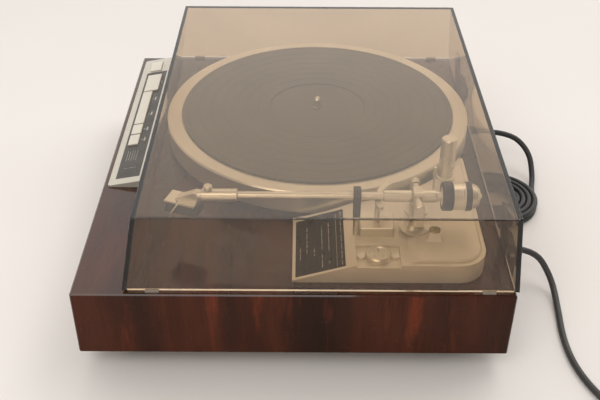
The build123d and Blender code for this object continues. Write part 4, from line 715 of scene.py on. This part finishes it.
# Counterweight: its dark band, and the scale round the ring before it.
BAND_AT, BAND_WIDE, BAND_BREAK = 20.2 * MM, 5.4 * MM, 0.4 * MM
BAND_ROOT, BAND_EDGE, BAND_FACE = -0.6 * MM, 0.02 * MM, 0.06 * MM  # from the metal outwards
ring_c = middle_of("weight_dial")
body_low, body_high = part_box("counterweight")
band_r = (body_high.z - body_low.z) / 2
band = [(band_r + out, y) for out, y in (
    (BAND_ROOT, 0), (BAND_EDGE, 0), (BAND_FACE, BAND_BREAK), (BAND_FACE, BAND_WIDE - BAND_BREAK),
    (BAND_EDGE, BAND_WIDE), (BAND_ROOT, BAND_WIDE), (BAND_ROOT, 0),
)]
lay = Matrix.Translation((ring_c.x, body_low.y + BAND_AT, ring_c.z))
lay = lay @ Matrix.Rotation(-math.pi / 2, 4, "X")
piece("weight_band", lathe_shape(band, 96, lay), "counterweight", dark_ring, 30)

RING_MARKS, RING_FIGURE_EVERY = 36, 6
RING_EDGE = -4.0  # where the marks start, from the ring's middle
ring_low, ring_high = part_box("weight_dial")
ring_r = (ring_high.z - ring_low.z) / 2
marks = bmesh.new()
for k in range(RING_MARKS):
    out = (Matrix.Translation(ring_c) @ Matrix.Rotation(2 * math.pi * k / RING_MARKS, 4, "Y")
           @ Matrix.Translation((0, 0, ring_r)))
    figure, lesser = divmod(k, RING_FIGURE_EVERY)
    long = 1.8 if lesser else 3.0
    slab(marks, out, 0, RING_EDGE + long / 2, 0.25, long)
    if not lesser:
        numeral(marks, str(figure), 2.6, out @ at(0, 1.7))
piece("weight_marks", marks, "weight_dial", print_pale)


# ------------------------------------------------------------------ floor, lamps and sky
FLOOR_CELLS, FLOOR_HALF = 24, 6.0
steps = [-FLOOR_HALF + 2 * FLOOR_HALF * k / FLOOR_CELLS for k in range(FLOOR_CELLS + 1)]
shape = bmesh.new()
grid = [[shape.verts.new((x, y, 0)) for y in steps] for x in steps]
for here, there in zip(grid, grid[1:]):
    for j in range(FLOOR_CELLS):
        shape.faces.new((here[j], there[j], there[j + 1], here[j + 1]))
mesh = bpy.data.meshes.new("floor")
shape.to_mesh(mesh)
shape.free()
floor = bpy.data.objects.new("floor", mesh)
scene.collection.objects.link(floor)
paper = Shade("floor_paper", Roughness=0.85, Specular_IOR_Level=0.1)
paper.colour(paper.ramp(paper.noise(3.0, 3.0, 0.5),
                        (0.3, (0.83, 0.79, 0.755)), (0.7, (0.85, 0.81, 0.775))))
mesh.materials.append(paper.material)


def lamp(name, place, aim, wide, deep, power, colour):
    light = bpy.data.lights.new(name, "AREA")
    light.shape = "RECTANGLE"
    light.size, light.size_y = wide, deep
    light.energy = power
    light.color = colour
    obj = bpy.data.objects.new(name, light)
    obj.location = place
    obj.rotation_euler = (Vector(aim) - Vector(place)).to_track_quat("-Z", "Y").to_euler()
    scene.collection.objects.link(obj)


lamp("key_lamp", (1.7, -0.7, 2.0), (0, 0, 0.1), 1.9, 1.5, 26.0, (1.0, 0.975, 0.95))
lamp("low_lamp", (2.3, -0.5, 0.5), (0.1, 0, 0.05), 1.6, 0.6, 6.0, (1.0, 0.97, 0.94))
lamp("fill_lamp", (-0.7, 1.1, 2.3), (0, 0, 0.05), 1.4, 1.2, 12.0, (1.0, 0.985, 0.965))

# The sky is bright behind the player, as the camera sees it, and darker behind the camera.
world = bpy.data.worlds.new("World")
scene.world = world
world.use_nodes = True
nodes, links = world.node_tree.nodes, world.node_tree.links
sky = nodes["Background"]
sky.inputs["Color"].default_value = (1.0, 0.975, 0.945, 1)
heading = nodes.new("ShaderNodeSeparateXYZ")
grading = nodes.new("ShaderNodeMapRange")
links.new(nodes.new("ShaderNodeTexCoord").outputs["Generated"], heading.inputs[0])
links.new(heading.outputs["X"], grading.inputs["Value"])
grading.interpolation_type = "SMOOTHSTEP"
for name, value in (("From Min", -0.95), ("From Max", 0.6), ("To Min", 1.54), ("To Max", 0.22)):
    grading.inputs[name].default_value = value
links.new(grading.outputs[0], sky.inputs["Strength"])

scene.view_settings.view_transform = "Standard"
